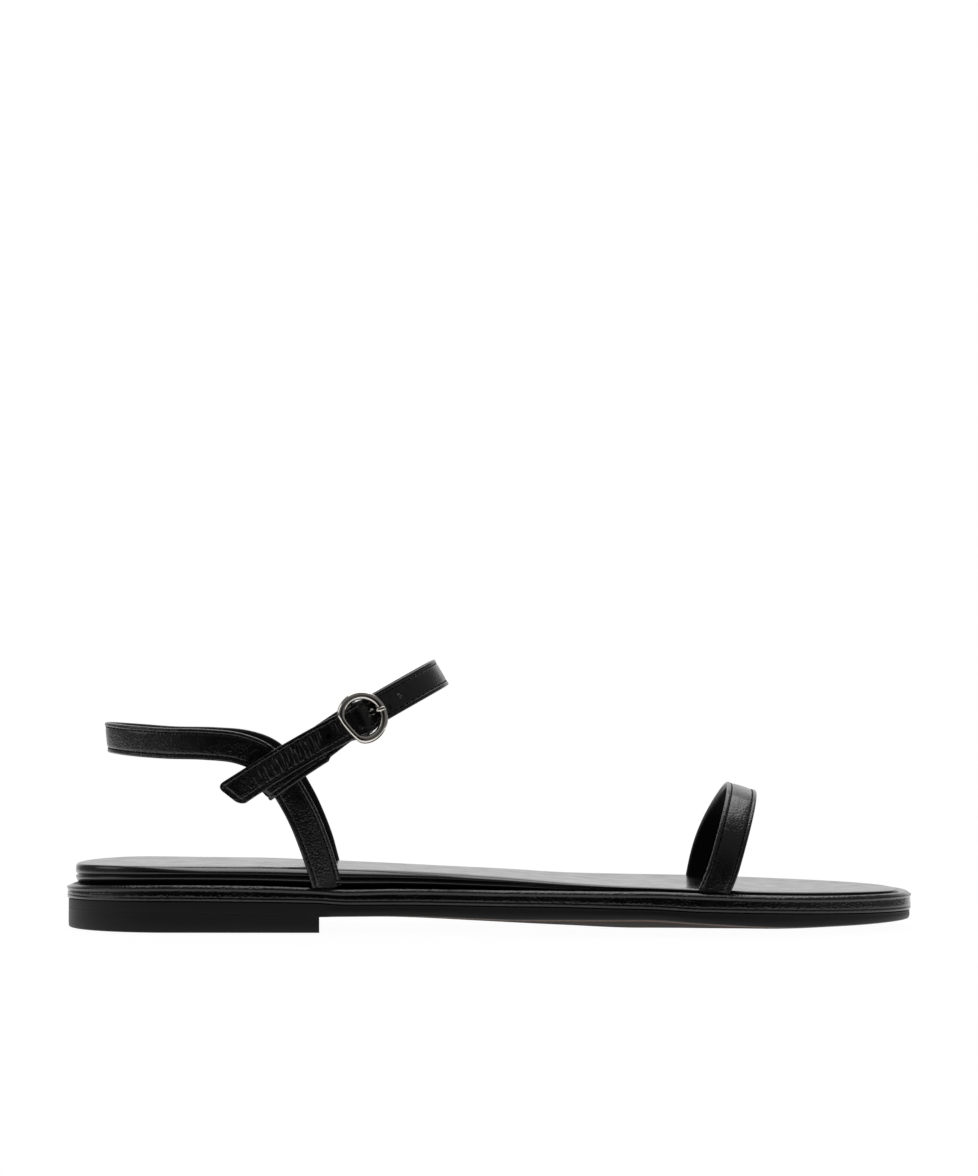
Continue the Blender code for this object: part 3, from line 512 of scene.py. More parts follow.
# %% [markdown]
# ## Heel and outsole
# On the real shoe the heel block is glued under the outsole and both are sanded together, so their edges
# run flush and the joint is only a hairline. In front of the heel the outsole's edge is rounded instead.
# The tread under the ball is crowned, so a sliver of tan shows below the black edge.

# %% Outsole
SOLE_STATIONS = 193
SOLE_ANGLES = np.linspace(0, pi, SOLE_STATIONS)
EDGE_INSET = 0.45
ROUND_LEAST, ROUND_RUN = 0.02, 6.0
OUTSOLE_ACROSS = 12


def under_round(x):
    """How much the lower edge of the outsole is rounded: hardly over the heel, fully in front of it."""
    return ROUND_LEAST + (1 - ROUND_LEAST) * ease((x - HEEL_FRONT) / ROUND_RUN)


outsole_profile = (
    ("edge", lambda x: EDGE_INSET + 2.4 * under_round(x), "bottom", 0.0),
    ("edge", lambda x: EDGE_INSET + 0.9 * under_round(x), "bottom", lambda x: 0.06 * under_round(x)),
    ("edge", lambda x: EDGE_INSET + 0.25 * under_round(x), "bottom", lambda x: 0.3 * under_round(x)),
    ("edge", EDGE_INSET, "bottom", lambda x: 0.9 * under_round(x)),
    ("edge", EDGE_INSET, "seam", -0.6),
    ("edge", EDGE_INSET + 0.02, "seam", -0.2),
    ("edge", EDGE_INSET + 0.15, "seam", -0.05),
    ("edge", EDGE_INSET + 1.5, "seam", -0.03),
)
sections = layer_sections(SOLE_ANGLES, outsole_profile, OUTSOLE_ACROSS)
# The middle strips of the tread take the painted shade; the strips near each edge stay tan.
tread_strips = [2] * OUTSOLE_ACROSS + [1] * PROFILE_STEPS
edge_strips = [0] * (sections.shape[1] - len(tread_strips) - PROFILE_STEPS)
outsole = skin("outsole_edge_inked", sections, capped=False, materials=(edge_ink, tread_board, tread_painted_shade),
               inks=tread_strips + edge_strips + [1] * PROFILE_STEPS)
finish_piece(outsole, "outsole", "outsole")

# %% Heel
heel_profile = (
    ("edge", EDGE_INSET + 1.2, "floor", 0.0),
    ("edge", EDGE_INSET + 0.45, "floor", 0.04),
    ("edge", EDGE_INSET + 0.12, "floor", 0.25),
    ("edge", EDGE_INSET, "floor", 0.8),
    ("edge", EDGE_INSET, "bottom", -0.35),
    ("edge", EDGE_INSET + 0.02, "bottom", -0.06),
    ("edge", EDGE_INSET + 1.0, "bottom", -0.04),
)
HEEL_FRONT_EDGE = (0.5, 0.15, 0.0)
HEEL_STATIONS, HEEL_ACROSS, HEEL_CORNER = 97, 8, radians(40)
heel_angles = np.linspace(0, np.arccos(1 - 2 * HEEL_FRONT / LENGTH), HEEL_STATIONS)
sections = layer_sections(heel_angles, heel_profile, HEEL_ACROSS)
for row, back in zip((-3, -2, -1), HEEL_FRONT_EDGE):
    sections[row, :, 0] = HEEL_FRONT - back + HEEL_SKEW * sections[row, :, 1]
heel = skin("heel_block", sections, materials=(edge_ink,))
heel.data.set_sharp_from_angle(angle=HEEL_CORNER)
finish_piece(heel, "heel", "heel")

# %% [markdown]
# ## Wrapped midsole
# The platform is a board wrapped in leather. The wrap is pulled over a cord at the top, which makes the
# round rim that holds the footbed and stands out furthest. Below the cord the leather is drawn in, and at
# the bottom it is turned under, where a low bead runs above the joint.

# %% Midsole with its rim
MIDSOLE_ACROSS = 8
midsole_profile = (
    ("edge", 1.6, "seam", 0.0),
    ("edge", 0.7, "seam", 0.02),
    ("edge", 0.3, "seam", 0.1),
    ("edge", 0.08, "seam", 0.35),
    ("edge", 0.02, "seam", 0.75),
    ("edge", 0.12, "seam", 1.1),
    ("edge", 0.1, "seam", 1.4),
    ("edge", 0.1, "seam", 1.8),
    ("edge", 0.2, "rim", -2.2),
    ("edge", 0.2, "rim", -1.75),
    ("edge", -0.05, "rim", -1.4),
    ("edge", -0.1, "rim", -1.15),
    ("edge", 0.2, "rim", -0.8),
    ("edge", 0.65, "rim", -0.42),
    ("edge", 1.15, "rim", -0.12),
    ("edge", 1.65, "rim", -0.01),
    ("pad", -0.75, "rim", -0.25),
    ("pad", -0.35, "rim", -TRAY_DEPTH),
)
sections = layer_sections(SOLE_ANGLES, midsole_profile, MIDSOLE_ACROSS)
midsole = skin("midsole_wrapped", sections, capped=False, materials=(rim_leather,))
finish_piece(midsole, "rim_leather", "midsole")

# %% [markdown]
# ## Footbed
# The footbed is foam under glazed leather. A crease runs round its side, where the upper cover is turned
# under, and fades out behind the ball of the foot, where the pad gets thin. Above the crease the edge is
# steep at the back of the heel and becomes a sloping shoulder along the arch. Below the crease a narrow
# band shows above the rim. Two tables give the edge above the crease, one for the back and one for the
# sides, and each station blends them.

# %% Padded footbed
CREASE_ENDS = (115.0, 155.0)
CREASE_AT = 0.56
BACK_EDGE = ((0.12, 0.12), (0.4, 0.0), (0.7, 0.12), (0.9, 0.5), (0.98, 1.3), (1.0, 2.8), (1.0, 5.0))
SIDE_EDGE = ((0.1, 0.4), (0.24, 0.15), (0.42, 0.5), (0.64, 1.5), (0.84, 3.1), (0.96, 5.0), (1.0, 7.5))
SIDE_ENDS = (12.0, 45.0)
THIN_ENDS, THIN_SHARE = (135.0, 185.0), 0.45
FOOTBED_ACROSS = 20


def crease(depth, base):
    start, end = CREASE_ENDS
    return lambda x: base + (depth - base) * (1 - ease((x - start) / (end - start)))


def shoulder(x):
    """0 where the back table counts alone, 1 where the side table does."""
    thin = ease((x - THIN_ENDS[0]) / (THIN_ENDS[1] - THIN_ENDS[0]))
    return ease((x - SIDE_ENDS[0]) / (SIDE_ENDS[1] - SIDE_ENDS[0])) * (1 - THIN_SHARE * thin)


def blended(column, row):
    back, beside = BACK_EDGE[row][column], SIDE_EDGE[row][column]
    return lambda x: back + (beside - back) * shoulder(x)


def edge_height(row):
    share = blended(0, row)
    return lambda x: CREASE_AT + (1 - CREASE_AT) * share(x)


footbed_profile = [
    ("pad", 1.9, "pad", 0.0),
    ("pad", 1.1, "pad", 0.04),
    ("pad", crease(0.85, 0.3), "pad", 0.18),
    ("pad", crease(0.4, 0.1), "pad", 0.31),
    ("pad", crease(0.06, 0.0), "pad", CREASE_AT - 0.15),
    ("pad", crease(0.04, 0.0), "pad", CREASE_AT - 0.09),
    ("pad", crease(0.35, 0.0), "pad", CREASE_AT - 0.04),
    ("pad", crease(0.95, 0.05), "pad", CREASE_AT),
]
footbed_profile += [("pad", blended(1, row), "pad", edge_height(row)) for row in range(len(BACK_EDGE))]
sections = layer_sections(SOLE_ANGLES, footbed_profile, FOOTBED_ACROSS)
footbed = skin("footbed_padded", sections, capped=False, materials=(footbed_leather,))
finish_piece(footbed, "footbed_leather", "footbed")

# %% [markdown]
# ## Section of a strap
# A strap is a folded leather face glued to a lining and sewn along both edges. Across it the eye sees a
# thin line between the two layers, a rounded margin, a shallow stitch groove, and a nearly flat face
# between the grooves. A short table gives that section from the edge to the middle: how far in from the
# edge, in millimetres, and how high as a part of half the thickness. The ankle strap has been pulled
# through the buckle, so its margins are flatter.

# %% Strap sections
FACE = (
    (0.12, 0.0), (0.0, 0.25), (0.08, 0.62), (0.3, 0.9), (0.65, 1.0), (1.0, 0.93), (1.22, 0.74),
    (1.38, 0.58), (1.56, 0.68), (1.9, 0.83), (2.6, 0.93),
)
FLAT_FACE = (
    (0.1, 0.0), (0.0, 0.25), (0.05, 0.62), (0.18, 0.9), (0.42, 1.0), (0.85, 1.0), (1.15, 0.9), (1.38, 0.62),
    (1.56, 0.72), (1.9, 0.86), (2.6, 0.94),
)
FACE_STEPS, LINING_STEPS = 3, 2
LINING = ((0.05, -0.3), (0.25, -0.62), (0.7, -0.9), (1.5, -1.0))
FACE_MIDDLE = 0.97
GROOVE_ROW = 7
MARGIN = 1.5


def unit(vectors):
    return vectors / np.linalg.norm(vectors, axis=-1, keepdims=True)


def tangents(points, closed=False):
    if closed:
        return unit(np.roll(points, -1, axis=0) - np.roll(points, 1, axis=0))
    return unit(np.gradient(points, axis=0))


def along(points, distances):
    steps = np.linalg.norm(np.diff(points, axis=0), axis=1)
    length = np.concatenate([[0.0], np.cumsum(steps)])
    return np.array([np.interp(distances, length, points[:, axis]) for axis in range(3)]).T


def path_length(points):
    return np.linalg.norm(np.diff(points, axis=0), axis=1).sum()


def strap_columns(half, face_table=FACE):
    """Columns round a strap's section: place across, height, and 1 on the face or 0 on the lining."""
    face = curve_through(face_table + ((half, FACE_MIDDLE),), FACE_STEPS)
    columns = [(half - inset, height, 1) for inset, height in face]
    columns += [(-place, height, 1) for place, height, _ in columns[-2::-1]]
    lining = curve_through(LINING + ((half, -1.0),), LINING_STEPS)
    under = [(inset - half, height, 0) for inset, height in lining]
    under += [(-place, height, 0) for place, height, _ in under[-2::-1]]
    return columns + under


def strap_sections(centres, across, half_widths, thick, relief=None, distances=None, closed=False,
                   face_table=FACE):
    """Sections of a strap. relief(distance, place across) lifts or lowers the face, in millimetres."""
    out = unit(np.cross(tangents(centres, closed), across))
    nominal = np.median(half_widths)
    columns = []
    for place, height, on_face in strap_columns(nominal, face_table):
        spot = place * half_widths / nominal
        lift = height * thick / 2 + 0 * spot
        if relief is not None and on_face:
            inside = ease((half_widths - np.abs(spot)) / MARGIN)
            lift = lift + inside * relief(distances, spot)
        columns.append(centres + spot[:, None] * across + lift[:, None] * out)
    return np.stack(columns, axis=1)


USUAL_HALF = 4.6
STRAP_INKS = [1 - on_face for _, _, on_face in strap_columns(USUAL_HALF)]
STRAP_MATERIALS = (strap_leather, lining_leather)
print("points round a strap:", len(STRAP_INKS))

# %% [markdown]
# ## Creases
# Leather that has been bent and buckled keeps creases. They aren't random: they lie where the strap was
# folded, and they cross it. Each row below is one crease, given in the strap's own millimetres: its distance
# along the strap, its slant, its depth and width, and where its middle lies across the strap and how far it
# reaches from there. One factor deepens them all alike.

# %% Relief from a table of creases
CREASE_DEEPENING = 1.2


def creased(rows, dents=()):
    """Relief with creases across a strap and soft dents (at, over, depth, length, breadth)."""
    def relief(distance, place):
        lift = np.zeros_like(place)
        for at, slant, depth, width, middle, reach in rows:
            fade = np.exp(-((place - middle) / reach) ** 4)
            lift -= CREASE_DEEPENING * depth * fade * np.exp(-((distance - at - slant * place) / width) ** 2)
        for at, over, depth, long, broad in dents:
            lift -= depth * np.exp(-((distance - at) / long) ** 2 - ((place - over) / broad) ** 2)
        return lift
    return relief


HEEL_CREASES = (
    (30.5, -0.3, 0.08, 0.45, 0.0, 2.4), (32.4, -0.3, 0.1, 0.45, 0.8, 2.0),
    (34.2, -0.3, 0.08, 0.4, -0.4, 2.0), (44.6, 0.5, 0.14, 0.45, -0.6, 1.8),
    (45.9, 0.6, 0.18, 0.5, 0.5, 2.0), (47.3, 0.6, 0.2, 0.45, -0.3, 2.2), (48.6, 0.7, 0.16, 0.45, 1.0, 1.6),
    (50.1, 0.6, 0.2, 0.5, 0.0, 2.2), (51.5, 0.7, 0.14, 0.45, -0.9, 1.7), (53.1, 0.6, 0.16, 0.5, 0.6, 1.9),
    (55.4, 0.7, 0.12, 0.5, -0.2, 1.8), (58.6, 0.6, 0.08, 0.6, 0.5, 1.8),
)

# %% [markdown]
# ## Heel strap
# One curved-cut band makes both quarters and the sling round the heel. It stands like a wall on its plan
# and leans out a little at the back. Its feet are tucked between footbed and rim.

# %% Heel strap
HEEL_STRAP_COLUMNS = ("outer_station", "inner_station", "outer", "inner", "outer_height", "inner_height")
HEEL_STRAP = (
    (79.2, 78.8, 28.2, 25.0, 12.4, 12.4), (75.8, 75.1, 29.2, 27.3, 24.0, 24.0),
    (71.5, 70.5, 30.0, 28.5, 35.0, 34.8), (67.5, 66.7, 30.0, 28.5, 42.2, 41.8),
    (63.8, 63.4, 30.0, 28.5, 47.7, 47.1), (59.2, 59.0, 30.0, 28.5, 52.0, 51.0),
    (52.4, 52.4, 29.8, 28.3, 54.7, 53.3), (43.0, 43.0, 28.6, 27.2, 55.7, 54.2),
    (31.0, 31.0, 24.6, 23.6, 55.9, 54.6), (20.0, 20.0, 17.0, 16.5, 56.4, 55.7),
    (12.7, 12.7, 0.0, 0.0, 56.8, 56.8),
)
HEEL_STRAP_WIDTH, HEEL_STRAP_THICK, HEEL_STRAP_LEAN = 9.2, 2.0, 0.1
ROUTE_STEPS, STATION_STEP = 24, 0.3
rows = [dict(zip(HEEL_STRAP_COLUMNS, row)) for row in HEEL_STRAP]
outer_route = [(row["outer_station"], -row["outer"], row["outer_height"]) for row in rows]
inner_route = [(row["inner_station"], row["inner"], row["inner_height"]) for row in rows[-2::-1]]
heel_path = curve_through(outer_route + inner_route, ROUTE_STEPS)


def stations(start, end, step):
    return np.linspace(start, end, int((end - start) / step))


heel_distances = stations(GAP, path_length(heel_path) - GAP, STATION_STEP)
heel_centres = along(heel_path, heel_distances)
run = tangents(heel_centres)
into_foot = unit(np.stack([run[:, 1], -run[:, 0], np.zeros(len(run))], axis=1))
into_foot[:, 2] = HEEL_STRAP_LEAN * np.maximum(into_foot[:, 0], 0.0)
heel_across = unit(np.cross(run, into_foot))
heel_halves = np.full(len(heel_centres), HEEL_STRAP_WIDTH / 2)
sections = strap_sections(heel_centres, heel_across, heel_halves, HEEL_STRAP_THICK, creased(HEEL_CREASES),
                          heel_distances)
heel_strap = skin("heel_strap_leather", sections, materials=STRAP_MATERIALS, inks=STRAP_INKS)
finish_piece(heel_strap, "strap_leather", "heel_strap")

# %% [markdown]
# ## Toe strap
# The band over the toes is an arch in a plane that leans forward. Its inner foot sits a little further back
# than its outer foot, as the toes do, and the outer foot kicks back a little where it is tucked in.

# %% Toe strap
TOE_STATION, TOE_FOOT, TOE_LEAN = 193.4, 11.3, radians(17.0)
TOE_HEIGHT, TOE_POWER_ARCH, TOE_SKEW, TOE_BOW = 31.2, 2.25, 1.8, 1.2
TOE_WIDTH, TOE_THICK = 9.2, 2.0
TOE_KICK, TOE_KICK_HEIGHT = 0.8, 5.0
ARCH_STATIONS = 241
outer_span = half_breadth(TOE_STATION) - plan("middle", TOE_STATION) - rim_width(TOE_STATION)
inner_span = half_breadth(TOE_STATION) + plan("middle", TOE_STATION) - rim_width(TOE_STATION)
turn = np.linspace(0, pi, ARCH_STATIONS)
arch_y = -np.sign(np.cos(turn)) * np.abs(np.cos(turn)) ** (2 / TOE_POWER_ARCH)
arch_y = np.where(arch_y < 0, outer_span, inner_span) * arch_y
arch_up = TOE_HEIGHT * np.sin(turn) ** (2 / TOE_POWER_ARCH)
inward = np.maximum(arch_y, 0.0) / inner_span
set_back = TOE_SKEW * inward**2 + TOE_BOW * inward * np.sin(pi * arch_up / TOE_HEIGHT)
set_back += np.where(arch_y < 0, TOE_KICK, 0.0) * np.exp(-(arch_up / TOE_KICK_HEIGHT) ** 2)
arch_x = TOE_STATION + arch_up * sin(TOE_LEAN) - set_back
toe_path = np.stack([arch_x, arch_y, TOE_FOOT + arch_up * cos(TOE_LEAN)], axis=1)
toe_distances = stations(GAP, path_length(toe_path) - GAP, STATION_STEP)
toe_centres = along(toe_path, toe_distances)
toe_across = np.tile([-cos(TOE_LEAN), 0.0, sin(TOE_LEAN)], (len(toe_centres), 1))
toe_halves = np.full(len(toe_centres), TOE_WIDTH / 2)
sections = strap_sections(toe_centres, toe_across, toe_halves, TOE_THICK)
toe_strap = skin("toe_strap_leather", sections, materials=STRAP_MATERIALS, inks=STRAP_INKS)
finish_piece(toe_strap, "strap_leather", "toe_strap")

# %% [markdown]
# ## Ankle strap
# The ankle strap is a loop in one tilted plane. It starts at a free tip on the outer side, passes through
# the buckle, where it humps over the bar, runs round the front, and folds round the inner quarter. Between
# the tip and the buckle it has been pulled through many times, so it is full of cross creases. Beyond the
# buckle it is only dented in a few places.

# %% Ankle strap path
ANKLE_TILT = radians(30.4)
ANKLE_ALONG = np.array([cos(ANKLE_TILT), 0.0, sin(ANKLE_TILT)])
ANKLE_OVER = np.array([-sin(ANKLE_TILT), 0.0, cos(ANKLE_TILT)])
BUCKLE_SPOT = np.array([88.8, 0.0, 63.4])
ANKLE_OUTER, ANKLE_INNER, ANKLE_TIP, ANKLE_FRONT, ANKLE_CURVE = 33.45, 30.65, -45.0, 26.3, 40.0
ANKLE_BOW_TIP, ANKLE_BOW_FRONT = 0.7, -0.75
FOLD_AT, FOLD_RADIUS = -36.6, 2.15
LAP_BEND, LAP_END, LAP_SHIFT = (-22.5, -16.0), -13.2, 2.2
FINE = 120
curve_start = ANKLE_FRONT - ANKLE_CURVE
quarter = np.linspace(0, pi / 2, FINE)
fold_middle = ANKLE_INNER - FOLD_RADIUS
lap_s = np.linspace(FOLD_AT, LAP_END, FINE)[1:]
lap_y = fold_middle - FOLD_RADIUS + LAP_SHIFT * ease((lap_s - LAP_BEND[0]) / (LAP_BEND[1] - LAP_BEND[0]))
back_s = np.linspace(curve_start, FOLD_AT, FINE)[1:]
tip_s = np.linspace(ANKLE_TIP, curve_start, FINE, endpoint=False)
s = np.concatenate([tip_s, curve_start + ANKLE_CURVE * np.sin(quarter),
                    curve_start + ANKLE_CURVE * np.sin(quarter[-2::-1]), back_s,
                    FOLD_AT - FOLD_RADIUS * np.sin(2 * quarter[1:]), lap_s])
y = np.concatenate([np.full(FINE, -ANKLE_OUTER), -ANKLE_OUTER * np.cos(quarter),
                    ANKLE_INNER * np.cos(quarter[-2::-1]), np.full(FINE - 1, ANKLE_INNER),
                    fold_middle + FOLD_RADIUS * np.cos(2 * quarter[1:]), lap_y])
tip_bow = ANKLE_BOW_TIP * np.sin(pi * np.clip(s / ANKLE_TIP, 0, 1))
bow = np.where(s < 0, tip_bow, ANKLE_BOW_FRONT * (s / ANKLE_FRONT) ** 2)
bow = np.where(y < 0, bow, ANKLE_BOW_FRONT)
ankle_path = BUCKLE_SPOT + np.outer(s, ANKLE_ALONG) + np.outer(bow, ANKLE_OVER) + np.outer(y, (0.0, 1.0, 0.0))
ankle_length = np.concatenate([[0.0], np.cumsum(np.linalg.norm(np.diff(ankle_path, axis=0), axis=1))])
buckle_at = np.interp(0.0, s[y < 0], ankle_length[y < 0])
from_buckle = ankle_length - buckle_at
print("ankle strap:", round(ankle_length[-1], 1), "mm long, buckle at", round(buckle_at, 1), "mm")

# %% Ankle strap leather
HUMP_HEIGHT, HUMP_LENGTH = 2.0, 3.0
SPREAD, SPREAD_AT, SPREAD_LENGTH = 0.6, 1.5, 2.6
TIP_RADIUS, TIP_SHEAR, TIP_SHEAR_LENGTH, TIP_STATIONS = 2.2, 0.4, 7.0, 14
ANKLE_WIDTH, ANKLE_THICK = 8.8, 1.7
FINE_END, FINE_STEP, COARSE_STEP = 76.0, 0.14, 0.6
ANKLE_CREASES = (
    (1.45, 0.0, 0.3, 0.28, 0.0, 4.0), (6.6, 0.1, 0.08, 0.34, -0.6, 1.6), (8.9, 0.1, 0.16, 0.32, -0.8, 2.0),
    (9.9, 0.12, 0.14, 0.28, 0.6, 1.6), (10.9, 0.1, 0.2, 0.32, 0.4, 2.4),
    (12.0, 0.18, 0.16, 0.28, -1.2, 1.8), (13.0, 0.1, 0.2, 0.32, -0.4, 2.4),
    (14.1, 0.2, 0.18, 0.3, 1.0, 2.0), (15.2, 0.1, 0.22, 0.32, -0.8, 2.2), (16.1, 0.22, 0.34, 0.3, 1.2, 1.5),
    (17.2, 0.06, 0.38, 0.34, -0.4, 2.3), (18.0, 0.2, 0.26, 0.24, 1.4, 1.3),
    (18.9, 0.12, 0.46, 0.36, 0.3, 2.8), (19.8, 0.24, 0.28, 0.24, -1.0, 1.5),
    (20.5, 0.08, 0.44, 0.32, 0.9, 2.2), (21.8, 0.18, 0.5, 0.38, 0.1, 2.9),
    (22.6, 0.04, 0.26, 0.24, 1.3, 1.4), (23.4, 0.14, 0.4, 0.3, -0.7, 1.9),
    (24.3, 0.22, 0.46, 0.32, 0.8, 2.4), (25.6, 0.08, 0.5, 0.38, 0.3, 2.8),
    (26.3, 0.2, 0.26, 0.22, 1.6, 1.2), (27.1, 0.1, 0.42, 0.3, -0.3, 2.1), (28.0, 0.2, 0.34, 0.28, 1.0, 1.8),
    (29.0, 0.12, 0.52, 0.38, 0.5, 2.6), (29.9, 0.04, 0.3, 0.24, -0.9, 1.3),
    (30.7, 0.18, 0.48, 0.34, 1.1, 2.1), (31.9, 0.1, 0.34, 0.28, 1.5, 1.6),
    (36.4, 0.16, 0.3, 0.28, 1.7, 1.4), (37.4, 0.06, 0.36, 0.32, 1.2, 1.9),
    (38.8, 0.14, 0.3, 0.28, 1.6, 1.6), (40.1, 0.1, 0.22, 0.3, 0.6, 2.2),
)
ANKLE_DENTS = (
    (34.2, 0.0, 0.2, 1.7, 1.7), (53.6, 1.3, 0.32, 1.0, 0.9), (55.2, -1.2, 0.3, 0.9, 1.2),
    (57.0, 0.9, 0.34, 1.1, 1.0), (59.5, 0.2, 0.42, 1.4, 1.4), (61.9, -1.0, 0.28, 1.0, 1.1),
    (63.8, 1.1, 0.2, 1.3, 1.1),
)
out = unit(np.cross(tangents(ankle_path), ANKLE_OVER))
hump = HUMP_HEIGHT * np.exp(-(from_buckle / HUMP_LENGTH) ** 2)
humped = ankle_path + hump[:, None] * out
ankle_distances = np.concatenate([TIP_RADIUS * (1 - np.cos(np.linspace(0, pi / 2, TIP_STATIONS))),
                                  stations(TIP_RADIUS, FINE_END, FINE_STEP)[1:],
                                  stations(FINE_END, path_length(humped), COARSE_STEP)[1:]])
short = TIP_RADIUS - np.minimum(ankle_distances, TIP_RADIUS)
ankle_halves = ANKLE_WIDTH / 2 - TIP_RADIUS + np.sqrt(TIP_RADIUS**2 - short**2)
ankle_halves += SPREAD * np.exp(-((ankle_distances - buckle_at - SPREAD_AT) / SPREAD_LENGTH) ** 2)
ankle_centres = along(humped, ankle_distances)
slant = TIP_SHEAR * ease(1 - ankle_distances / TIP_SHEAR_LENGTH)
ankle_across = ANKLE_OVER - slant[:, None] * ANKLE_ALONG
ankle_relief = creased(ANKLE_CREASES, ANKLE_DENTS)
sections = strap_sections(ankle_centres, ankle_across, ankle_halves, ANKLE_THICK, ankle_relief,
                          ankle_distances, face_table=FLAT_FACE)
ankle_strap = skin("ankle_strap_leather", sections, materials=STRAP_MATERIALS, inks=STRAP_INKS)

# %% [markdown]
# ## Holes in the ankle strap
# The holes are punched after the strap is sewn, so they are cut here with a Boolean modifier. It is applied
# by taking the evaluated mesh, so that the finished piece is plain geometry.

# %% Punched holes
HOLES = ((3.9, 0.95), (-10.8, 0.8), (14.5, 0.8))
HOLE_SIDES = 24
HOLE_REACH = (-2.5, 4.5)
CUT_EDGE = radians(50)
NEARBY = 0.5


def ankle_frame(distance):
    """Point on the strap's middle line, its run there, and the way out of the strap."""
    around = np.array([distance - NEARBY, distance, distance + NEARBY])
    spots = [np.interp(around, from_buckle, ankle_path[:, axis]) for axis in range(3)]
    before, spot, after = np.array(spots).T
    forward = unit(after - before)
    return spot, forward, unit(np.cross(forward, ANKLE_OVER))


def boolean(piece, operation, tool):
    """Cut or join another object into the piece, keep plain mesh, and remove the tool."""
    modifier = piece.modifiers.new("boolean", "BOOLEAN")
    modifier.operation = operation
    modifier.solver = "EXACT"
    modifier.object = tool
    apply_modifiers(piece)
    bpy.data.objects.remove(tool, do_unlink=True)


def apply_modifiers(piece):
    graph = bpy.context.evaluated_depsgraph_get()
    mesh = bpy.data.meshes.new_from_object(piece.evaluated_get(graph))
    piece.modifiers.clear()
    piece.data = mesh


hole_turns = np.linspace(0, 2 * pi, HOLE_SIDES, endpoint=False)
for distance, radius in HOLES:
    spot, forward, outward = ankle_frame(distance)
    over = np.cross(outward, forward)
    circle = [radius * (cos(a) * forward + sin(a) * over) for a in hole_turns]
    ends = [[spot + step + depth * outward for step in circle] for depth in HOLE_REACH]
    boolean(ankle_strap, "DIFFERENCE", skin("punch", np.array(ends)))
ankle_strap.data.set_sharp_from_angle(angle=CUT_EDGE)
finish_piece(ankle_strap, "strap_leather", "ankle_strap")

# %% [markdown]
# ## Buckle tab
# A short tab of thinner leather is folded round the outer quarter and round the bar of the buckle. It is a
# closed belt, so its sections follow a closed route given by the distance from the buckle and the height
# off the strap.

# %% Buckle tab
TAB_COLUMNS = ("distance", "low", "high")
TAB_EDGES = np.array((
    (-40.0, -8.1, 2.2), (-14.6, -6.7, 4.1), (-13.6, -5.9, 4.3), (-5.5, -4.6, 5.1), (-2.5, -5.3, 5.3),
    (3.0, -5.3, 5.3),
))
TAB_THICK, TAB_SHEAR, TAB_FRONT, TAB_BACK, TAB_FOLD = 1.0, 0.22, -1.65, -5.25, -34.4
TAB_RISE, TAB_EYE_END, TAB_NECK = (-23.5, -15.0), -3.5, -14.6
TAB_FRONT_STATIONS, TAB_BACK_STATIONS, TAB_PINCH_STATIONS = 70, 22, 34
TURN_STATIONS, BEND_STATIONS = 24, 20
BAR_LEVEL, BAR_WIRE, BAR_CLEAR = -1.5, 0.7, 0.2
eye = BAR_WIRE + BAR_CLEAR + TAB_THICK / 2
fold = (TAB_FRONT - TAB_BACK) / 2
pinch = BAR_LEVEL - eye
half_turn = np.linspace(0, pi, TURN_STATIONS)
bend = np.linspace(0, 1, BEND_STATIONS)
rise_from, rise_to = TAB_RISE
tab_route = [(eye * sin(a), BAR_LEVEL - eye * cos(a)) for a in half_turn]
tab_route += [(TAB_EYE_END * t, BAR_LEVEL + eye + (TAB_FRONT - BAR_LEVEL - eye) * ease(t)) for t in bend[1:]]
tab_route += [(d, TAB_FRONT) for d in np.linspace(TAB_EYE_END, TAB_FOLD, TAB_FRONT_STATIONS)[1:]]
tab_route += [(TAB_FOLD - fold * sin(a), TAB_FRONT - fold + fold * cos(a)) for a in half_turn[1:]]
tab_route += [(d, TAB_BACK) for d in np.linspace(TAB_FOLD, rise_from, TAB_BACK_STATIONS)[1:-1]]
tab_route += [(rise_from + (rise_to - rise_from) * t, TAB_BACK + (pinch - TAB_BACK) * ease(t)) for t in bend]
tab_route += [(d, pinch) for d in np.linspace(rise_to, 0.0, TAB_PINCH_STATIONS)[1:-1]]
tab_centres, tab_across, tab_halves = [], [], []
for distance, height in tab_route:
    spot, forward, outward = ankle_frame(distance)
    low = np.interp(distance, TAB_EDGES[:, 0], TAB_EDGES[:, TAB_COLUMNS.index("low")])
    high = np.interp(distance, TAB_EDGES[:, 0], TAB_EDGES[:, TAB_COLUMNS.index("high")])
    tab_centres.append(spot + height * outward + (low + high) / 2 * ANKLE_OVER)
    shear = TAB_SHEAR * np.clip((TAB_NECK - distance) / -TAB_NECK, 0, 1)
    tab_across.append(shear * ANKLE_ALONG - ANKLE_OVER)
    tab_halves.append((high - low) / 2)
sections = strap_sections(np.array(tab_centres), np.array(tab_across), np.array(tab_halves), TAB_THICK,
                          closed=True)
buckle_tab = skin("buckle_tab_leather", sections, closed=True, materials=STRAP_MATERIALS, inks=STRAP_INKS)

# %% [markdown]
# ## Buckle
# The buckle is a ring with one flat, thinner side, a bar that drops below the strap, and a prong that hooks
# round the bar, comes up through a hole and rests on the ring. Each is a round wire along a path. The tab's
# eye is slit for the prong with one more Boolean.

# %% Slit in the tab
PRONG_SLIT = ((-2.7, 3.0), (-1.15, 1.15), (-4.6, 1.0))
buckle_spot, buckle_run, buckle_out = ankle_frame(0.0)
buckle_axes = np.stack([buckle_run, np.cross(buckle_out, buckle_run), buckle_out])


def in_buckle(points):
    """Distance along the strap, across it and off it, from the buckle's middle, to the sole's millimetres."""
    return buckle_spot + np.asarray(points) @ buckle_axes


